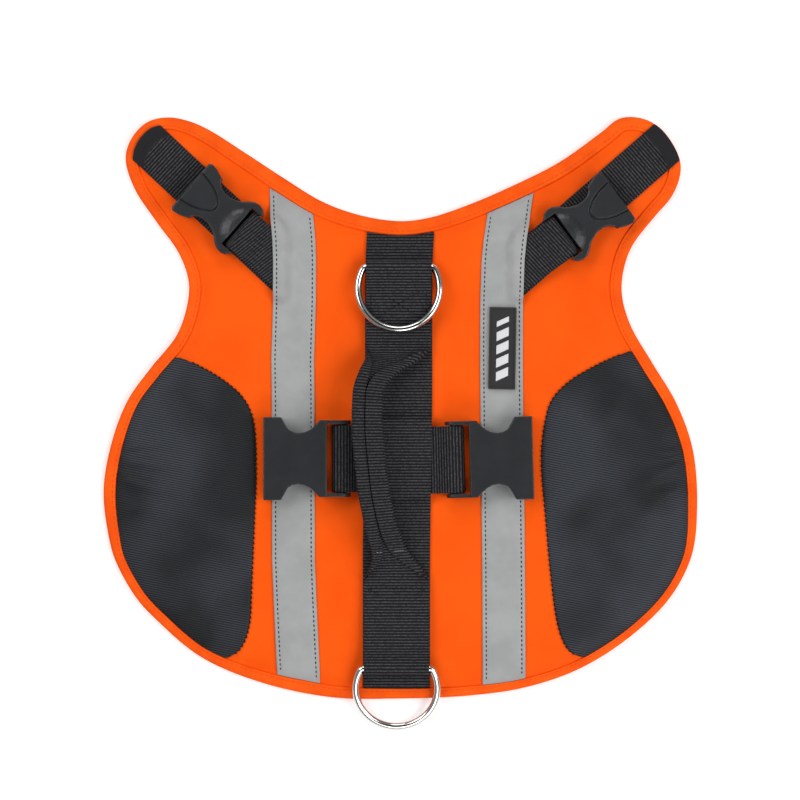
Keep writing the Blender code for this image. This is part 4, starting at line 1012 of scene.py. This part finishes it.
def webbing_loop(name, path, wall, half, place, node, stretch=1.0):
    """Webbing along a loop. place gives the ground point for a distance inwards and an offset across.

    stretch is how much longer the legs are for each thread across it, where its ends are cut slanted.
    """
    offsets = across_steps(half)
    stretch = np.broadcast_to(stretch, offsets.shape)
    path, ways = walk(path, RIB / 4 / max(stretch.max(), 1))
    ahead = unit(np.gradient(path, axis=0))
    narrow = thinning(offsets, half)
    bend = int(np.argmin(path[:, 0]))
    sections, threads = [], []
    for (way, z), (run, climb), along in zip(path, ahead, ways - ways[bend], strict=True):
        places = along * stretch
        half_wall = wall / 2 - rib_groove(places) - narrow
        columns = list(zip(offsets, stretch, half_wall, places, strict=True))
        section = []
        for side in (1, -1):
            for offset, longer, thick, spot in columns[::side]:
                inwards = way + side * thick * climb
                x, y = place(max(inwards, 0) * longer + min(inwards, 0), offset)
                section.append((x, y, z - side * thick * run))
                threads.append((offset, spot))
        sections.append(np.array(section))
    piece = add_piece(name, *loft(sections), webbing, "black_webbing", node, threads)


def straight(x, y, heading):
    """The ground point behind a bar, for a distance inwards and an offset across."""
    c, s = heading_of(heading)
    return lambda run, offset: (x - run * c - offset * s, y - run * s + offset * c)


# %% Belly webbing
WIRE = 2.0  # radius of the rings' wire and of the belly buckles' bars
BELLY_BAR_Z = 12.0
BELLY_REACH, BELLY_SLACK = 16.3, 2.2  # length of the legs, and room beyond the bar

low = PAD + GAP + WEB / 2
belly_path = loop_path(
    BELLY_REACH, BELLY_BAR_Z, WIRE + BAR_PLAY + WEB / 2, low, low + WEB + GAP, BELLY_SLACK
)
for side, *bar in BELLY_BUCKLES:
    webbing_loop(f"belly_loop_{side}", belly_path, WEB, BELLY_HALF, straight(*bar), f"belly_webbing_{side}")

# %% [markdown]
# ## The neck's loops and straps
#
# The neck has narrower, thinner webbing. A loop holds each buckle and ends slanted under the tape, so its
# threads aren't all as long. Below it a strap runs from the tape to the tip of the arm. The tip is sealed
# with heat, so that it doesn't fray, which melts its ribs into a smooth end.

# %% Neck loops
NECK_BAR_Z, NECK_BAR = 12.0, 1.6  # height and radius of the bar


def tuck_x(tape_edge):
    """How far in under the tape the neck's webbing ends."""
    return tape_edge - math.copysign(STRAP_TUCK, tape_edge)


for (side, x, y, heading), tape_edge in zip(NECK_BUCKLES, TAPE_OUTER, strict=True):
    c, s = heading_of(heading)
    reaches = (x - across_steps(NECK_HALF) * s - tuck_x(tape_edge)) / c
    low, bend = PAD + 2 * GAP + 1.5 * NECK_WEB, NECK_BAR + BAR_PLAY + NECK_WEB / 2
    neck_path = loop_path(reaches.min(), NECK_BAR_Z, bend, low, low + NECK_WEB + GAP)
    place, node = straight(x, y, heading), f"neck_loop_{side}"
    webbing_loop(f"neck_fold_{side}", neck_path, NECK_WEB, NECK_HALF, place, node, reaches / reaches.min())

# %% Neck straps
SEALED = 8.5  # length of the smooth tip
BINDING_TO, BINDING_FADE = 11.5, 4  # depth where the strap is down on the pad, and where it starts down
NECK_COLUMNS = 11
TIP_BEYOND, TIP_WITHIN = -70, 20  # places along the strap outside its arm, and well inside
NECK_THIN = 0.7  # thinner webbing draws in less at its selvedges
NECK_STRAPS = (  # side, x, y of a point on its middle line, heading of its tip, depth where it ends
    ("left", -109.3, 126.5, 136.8, 4.2),
    ("right", 120.6, 132.6, 41.0, GAP),
)

for (side, x, y, heading, tip), tape_edge in zip(NECK_STRAPS, TAPE_OUTER, strict=True):
    c, s = heading_of(heading)
    offsets = across_steps(NECK_HALF, NECK_COLUMNS)
    ends = []
    for offset in offsets:
        path = lambda way: (x - offset * s - way * c, y + offset * c - way * s)
        ends.append((crossing(path, TIP_BEYOND, TIP_WITHIN, tip), (x - offset * s - tuck_x(tape_edge)) / c))
    ends = np.array(ends)
    length = float((ends[:, 1] - ends[:, 0]).mean())
    ways = np.linspace(ends[:, 0], ends[:, 1], round(length / RIB * 4) + 1)
    net = np.stack([x - offsets * s - ways * c, y + offsets * c - ways * s], axis=-1)
    deep = locate(net.reshape(-1, 2))[0].reshape(ways.shape)
    over_binding = BIND_TOP * smooth_step((BINDING_TO - deep) / BINDING_FADE)
    low = np.maximum(pad_height(deep), over_binding) + GAP / 2
    ribbed = ways - ways[0] > SEALED
    places = np.where(ribbed, ways, RIB / 4)
    narrow = thinning(offsets, NECK_HALF) * NECK_THIN
    high = low + NECK_WEB - rib_groove(places) - narrow
    threads = band_threads(np.where(ribbed, offsets, 0), places)
    name, node = f"neck_band_{side}", f"neck_strap_{side}"
    lay_band(name, net, low + narrow, high, webbing, "black_webbing", node, length, threads)

# %% [markdown]
# ## The lift handle
#
# One length of webbing runs from the front ring to the rear one. In its middle it rises into a grip: both
# edges are folded over until they meet on top, and sewn, which makes a round, comfortable handle. It has
# flopped over to the left, so the meeting line wanders and the ends twist as they open out flat again.
#
# Each row of the table is one cross-section: where it is, how far the edges have turned over, where they
# crease, and how far the whole section leans. A simulation of folding would be hard to steer.

# %% Handle rows
RINGS = (  # name, body, x, y of the bar, tip in degrees, length of webbing under the loop
    ("ring_front", "front_ring", -0.9, 87.7, -4.3, 32.0),
    ("ring_rear", "rear_ring", -2.2, -137.7, 17.7, 16.0),
)
RING_BAR_Z = 12.9
GRIP_LINE = (  # y, x from the back webbing's middle, z, turn of the edges, crease, roll
    (44.5, 0.0, 9.85, 0, 15.2, 0),
    (40.5, -0.6, 10.7, 70, 15.0, 1),
    (37.0, -2.5, 12.8, 150, 13.8, 4),
    (34.0, -5.5, 15.8, 180, 11.8, 9),
    (30.5, -9.8, 19.0, 180, 9.6, 15),
    (26.0, -13.8, 21.9, 180, 8.3, 20),
    (19.0, -17.0, 24.2, 180, 7.8, 24),
    (7.0, -17.9, 25.7, 180, 7.8, 25),
    (-8.0, -17.4, 26.0, 180, 7.8, 25),
    (-24.0, -15.5, 25.4, 180, 7.8, 24),
    (-38.0, -13.6, 24.0, 180, 7.8, 22),
    (-49.0, -11.2, 22.0, 180, 7.8, 20),
    (-60.0, -8.2, 19.0, 180, 7.9, 17),
    (-68.5, -5.0, 16.0, 180, 8.3, 13),
    (-74.0, -3.0, 13.9, 180, 9.4, 9),
    (-78.5, -1.5, 12.3, 180, 11.6, 5),
    (-82.5, -0.6, 11.1, 165, 13.8, 3),
    (-86.0, -0.2, 10.3, 90, 15.0, 1),
    (-90.0, 0.0, 9.85, 0, 15.2, 0),
)


def handle_rows():
    """Rows of y, shift in x, z, turn, crease and roll along the whole length."""
    bend = WIRE + BAR_PLAY + WEB / 2
    low = PAD + 2 * GAP + 1.5 * WEB
    loops = []
    for (*_, bar_y, _, reach), sign in zip(RINGS, (-1, 1), strict=True):
        path = loop_path(reach, RING_BAR_Z, bend, low, low + WEB + GAP)
        loops.append([(bar_y + sign * way, 0.0, z, *GRIP_LINE[0][3:]) for way, z in path])
    rows = np.array([*loops[0], *spline(GRIP_LINE, 8), *loops[1][::-1]])
    travel = np.linalg.norm(np.diff(rows[:, :3], axis=0), axis=1)
    along = np.concatenate([[0], np.cumsum(travel)])
    ways = np.arange(0, along[-1], RIB / 4)
    return np.column_stack([np.interp(ways, along, column) for column in rows.T]), ways


rows, ways = handle_rows()
print("handle webbing:", len(rows), "rows, highest at", round(rows[:, 2].max(), 1), "mm")

# %% Folded sections
BEND = 1.0  # radius of the folds
FLAT_STEPS, BEND_STEPS = 6, 8
FLAP_SHARES = (0.3, 0.6, 0.85, 0.95, 1.0)
GRIP_SLIP = 2.0  # the two edges meet this far to the left of the grip's middle
EDGE_THIN = (0.4, 0.12)  # how far each face draws in at the two outermost columns
LEAST_TURN = 0.5  # degrees: a fold of none has no radius


def folded_half(turn, crease, slip):
    """One half of webbing with its edge bent up at a crease: x, z, slope and place across the cloth."""
    bend_length = math.pi * BEND
    flap = HANDLE_HALF + slip * smooth_step(turn / 180) - crease - bend_length
    half = [(crease * share, 0.0, 0.0, crease * share) for share in np.linspace(0, 1, FLAT_STEPS + 1)[:-1]]
    angle = math.radians(max(turn, LEAST_TURN))
    radius = bend_length / angle
    for share in np.linspace(0, 1, BEND_STEPS):
        a = angle * share
        x, z = crease + radius * math.sin(a), radius * (1 - math.cos(a))
        half.append((x, z, a, crease + bend_length * share))
    x, z, a, across = half[-1]
    for share in FLAP_SHARES:
        way = flap * share
        half.append((x + way * math.cos(a), z + way * math.sin(a), a, across + way))
    return half


def folded_section(turn, crease, shrink):
    """Both faces of the folded webbing, as x, z and the place across the cloth."""
    left, right = (folded_half(turn, crease, slip) for slip in (-GRIP_SLIP, GRIP_SLIP))
    middle = [(-x, z, -a, -u) for x, z, a, u in left[:0:-1]] + right
    reach = np.full(len(middle), WEB / 2 - shrink)
    for column, thin in enumerate(EDGE_THIN):
        reach[[column, -1 - column]] -= thin
    section = []
    for side in (1, -1):
        for (x, z, a, u), r in list(zip(middle, reach * side, strict=True))[::side]:
            section.append((x + r * math.sin(a), z - r * math.cos(a), u))
    return section


print("one section has", len(folded_section(180, 7.8, 0)), "corners")

# %% Handle
ahead = np.gradient(rows[:, [0, 2]], axis=0)
sections, threads = [], []
for row, (run, climb), groove, way in zip(rows, ahead, rib_groove(ways), ways, strict=True):
    y, shift, z, turn, crease, roll = row
    tangent = Vector((0, run, climb)).normalized()
    across = Matrix.Rotation(math.radians(roll), 3, -tangent) @ Vector((1, 0, 0))
    up = tangent.cross(across)
    middle = Vector((float(back_middle(y)) + shift, y, z))
    section = folded_section(turn, crease, groove)
    sections.append(np.array([middle + across * a + up * b for a, b, _ in section]))
    threads += [(u, way) for _, _, u in section]
handle = add_piece("lift_handle", *loft(sections), webbing, "black_webbing", "handle_webbing", threads)
print("handle webbing is cut", round(ways[-1]), "mm long")

# %% [markdown]
# ## Bar tacks and boxes of stitches
#
# A load on the handle is carried by thread. Next to each ring, a box with a cross in it is sewn through
# every layer. At the grip's lower end, two bars of dense pale stitches hold the folded edges down. The
# bars are drawn in the cloth's own measure across, so that they go up and over the folds with it.

# %% Boxes of stitches
BOXES = (  # y of the far side, y of the near side, half width, height of the thread
    (76.5, 57.5, 15.5, 12.32),
    (-92.5, -119.5, 15.5, 10.52),
)

box_rows = []
for far, near_y, half, z in BOXES:
    x = float(back_middle(near_y))
    a, b, c, d = (x - half, far, z), (x + half, far, z), (x + half, near_y, z), (x - half, near_y, z)
    box_rows += [np.array(line, float) for line in ((a, b), (b, c), (c, d), (d, a), (a, c), (b, d))]
look = {"pitch": 2.7, "length": 2.0, "thickness": 0.75, "lift": 0.2}
sew("handle_stitches", box_rows, black_thread, "black_webbing", **look)

# %% Bar tacks
TACK_Y = -71.0
TACK_SPANS = ((-16.0, -12.4), (12.6, 18.0))  # places across the cloth
TACK_POINTS = 9

pale_thread = thread_material("thread_pale_grey", "8E8F92")
row = int(np.argmin(np.abs(rows[:, 0] - TACK_Y)))
face = len(sections[row]) // 2
across = np.array(threads[row * 2 * face :][:face])[:, 0]
order = np.argsort(across)
tacks = []
for span in TACK_SPANS:
    places = np.linspace(*span, TACK_POINTS)
    columns = [np.interp(places, across[order], column) for column in sections[row][:face][order].T]
    tacks.append(np.column_stack(columns))
look = {"pitch": 1.5, "length": 1.3, "thickness": 0.4, "lift": 0.3}
sew("bar_tacks", tacks, pale_thread, "black_webbing", **look)

# %% [markdown]
# ## Plated rings
#
# Each ring is bent from 4 mm steel wire and nickel-plated. A smooth tube is drawn along its path with a
# curve and a round bevel, which is the quickest way to a wire of one thickness.

# %% Nickel material
# Polished nickel plate: a metal's colour is its reflection, here nearly white, a touch warm and sharp.
nickel = new_material("nickel_plated_steel", "DAD9D5", 0.13, Metallic=1.0)
grain(nickel, millimetres(nickel), size=4.0, height=0.05, strength=0.4, detail=3)

# %% Rings
RING_RADIUS, RING_HEIGHT, RING_CORNER = 23.0, 34.8, 2.4
CORNER_STEPS, ARC_STEPS, TUBE_STEPS = 9, 48, 6


def ring_route():
    """The wire's middle line: bar, rounded corner, arc and corner again."""
    middle = RING_HEIGHT - RING_RADIUS
    corner_x = math.sqrt((RING_RADIUS - RING_CORNER) ** 2 - (middle - RING_CORNER) ** 2)
    meet = math.atan2(middle - RING_CORNER, corner_x)
    half = [(corner_x * share, 0.0) for share in (0.0, 0.5)]
    for a in np.linspace(0, math.pi / 2 - meet, CORNER_STEPS):
        half.append((corner_x + RING_CORNER * math.sin(a), -RING_CORNER + RING_CORNER * math.cos(a)))
    for a in np.linspace(meet, -math.pi / 2, ARC_STEPS)[1:]:
        half.append((RING_RADIUS * math.cos(a), -middle + RING_RADIUS * math.sin(a)))
    return half + [(-x, y) for x, y in half[-2:0:-1]]


route = ring_route()
for name, body, x, y, tip, _ in RINGS:
    wire = bpy.data.curves.new(name, "CURVE")
    wire.dimensions = "3D"
    wire.bevel_depth = WIRE * MM
    wire.bevel_resolution = TUBE_STEPS
    line = wire.splines.new("POLY")
    line.points.add(len(route) - 1)
    for point, (a, b) in zip(line.points, route, strict=True):
        point.co = (a * MM, b * MM, 0, 1)
    line.use_cyclic_u = True
    source = bpy.data.objects.new(name, wire)
    bpy.context.scene.collection.objects.link(source)
    mesh = bpy.data.meshes.new_from_object(source.evaluated_get(bpy.context.evaluated_depsgraph_get()))
    bpy.data.objects.remove(source)
    place = Matrix.Translation(Vector((x, y, RING_BAR_Z)) * MM)
    mesh.transform(place @ Matrix.Rotation(math.radians(tip), 4, "X"))
    mesh.shade_smooth()
    place_piece(f"plated_{name}", mesh, nickel, name, body)

# %% [markdown]
# ## Moulded buckles and the rubber label
#
# The buckle halves are moulded acetal. Their solids already have the right form, so they keep it and only
# get a finish. The label is soft rubber with a raised rim, and keeps its solid too. Its field carries a
# plain row of slanted bars, which are low blocks with a small bevel on top.

# %% Plastic and rubber materials
EDGE_ROUND = 1.0

# Moulded acetal: a dark, slightly blue grey, satin from the spark-eroded grain of its mould, which is
# drawn coarser than real. Light runs along its edges, which a bevel in the shading rounds.
acetal = new_material("moulded_acetal_black", "232427", 0.35, IOR=1.48)
acetal_place = millimetres(acetal)
mottle(acetal, acetal_place, size=12, dark="242528", light="292A2D")
worn_edges = add_node(acetal, "ShaderNodeBevel", inputs=[("Radius", EDGE_ROUND * MM)], samples=6)
grain(
    acetal, acetal_place, size=0.4, height=0.04, strength=0.25, detail=3, fineness=0.7, below=worn_edges
)

# Moulded soft rubber: nearly black and matt. The pale one is the same, with chalk in it.
rubber = new_material("moulded_rubber_black", "1A1A1C", 0.55, IOR=1.52)
grain(rubber, millimetres(rubber), size=0.6667, height=0.04, strength=0.4)
pale = new_material("moulded_rubber_pale", "D9DADB", 0.6)
grain(pale, millimetres(pale), size=0.5, height=0.03)

for name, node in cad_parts.items():
    if "buckle" in name or name == "label_patch":
        for slot in node.material_slots:
            slot.material = acetal if "buckle" in name else rubber
        print(name, "is finished in", node.material_slots[0].material.name)

# %% Label bars
LABEL_X, LABEL_Y, LABEL_TURN = 57.4, 42.2, -1.0
LABEL_FIELD = 9.8
BARS = ((-14.5, 5.0), (-7.0, 5.0), (0.5, 5.0), (8.0, 5.0), (15.0, 3.0))  # middle, length
BAR_HALF, BAR_SLANT = 3.4, 1.6
BAR_LEVELS = ((0.02, 0.0), (0.17, 0.0), (0.25, 0.12))  # height over the field, how far it draws in

points, faces = [], []
c, s = heading_of(LABEL_TURN)
for middle, length in BARS:
    levels = []
    for z, draw in BAR_LEVELS:
        level = []
        for side, end in ((-1, -1), (1, -1), (1, 1), (-1, 1)):
            u, v = side * (BAR_HALF - draw), middle + end * (length / 2 - draw) + side * BAR_SLANT
            level.append((LABEL_X + u * c - v * s, LABEL_Y + u * s + v * c, LABEL_FIELD + z))
        levels.append(np.array(level))
    bar_points, bar_faces = loft(levels)
    faces += [[len(points) + k for k in face] for face in bar_faces]
    points += list(bar_points)
add_piece("label_bars", points, faces, pale, "black_rubber")
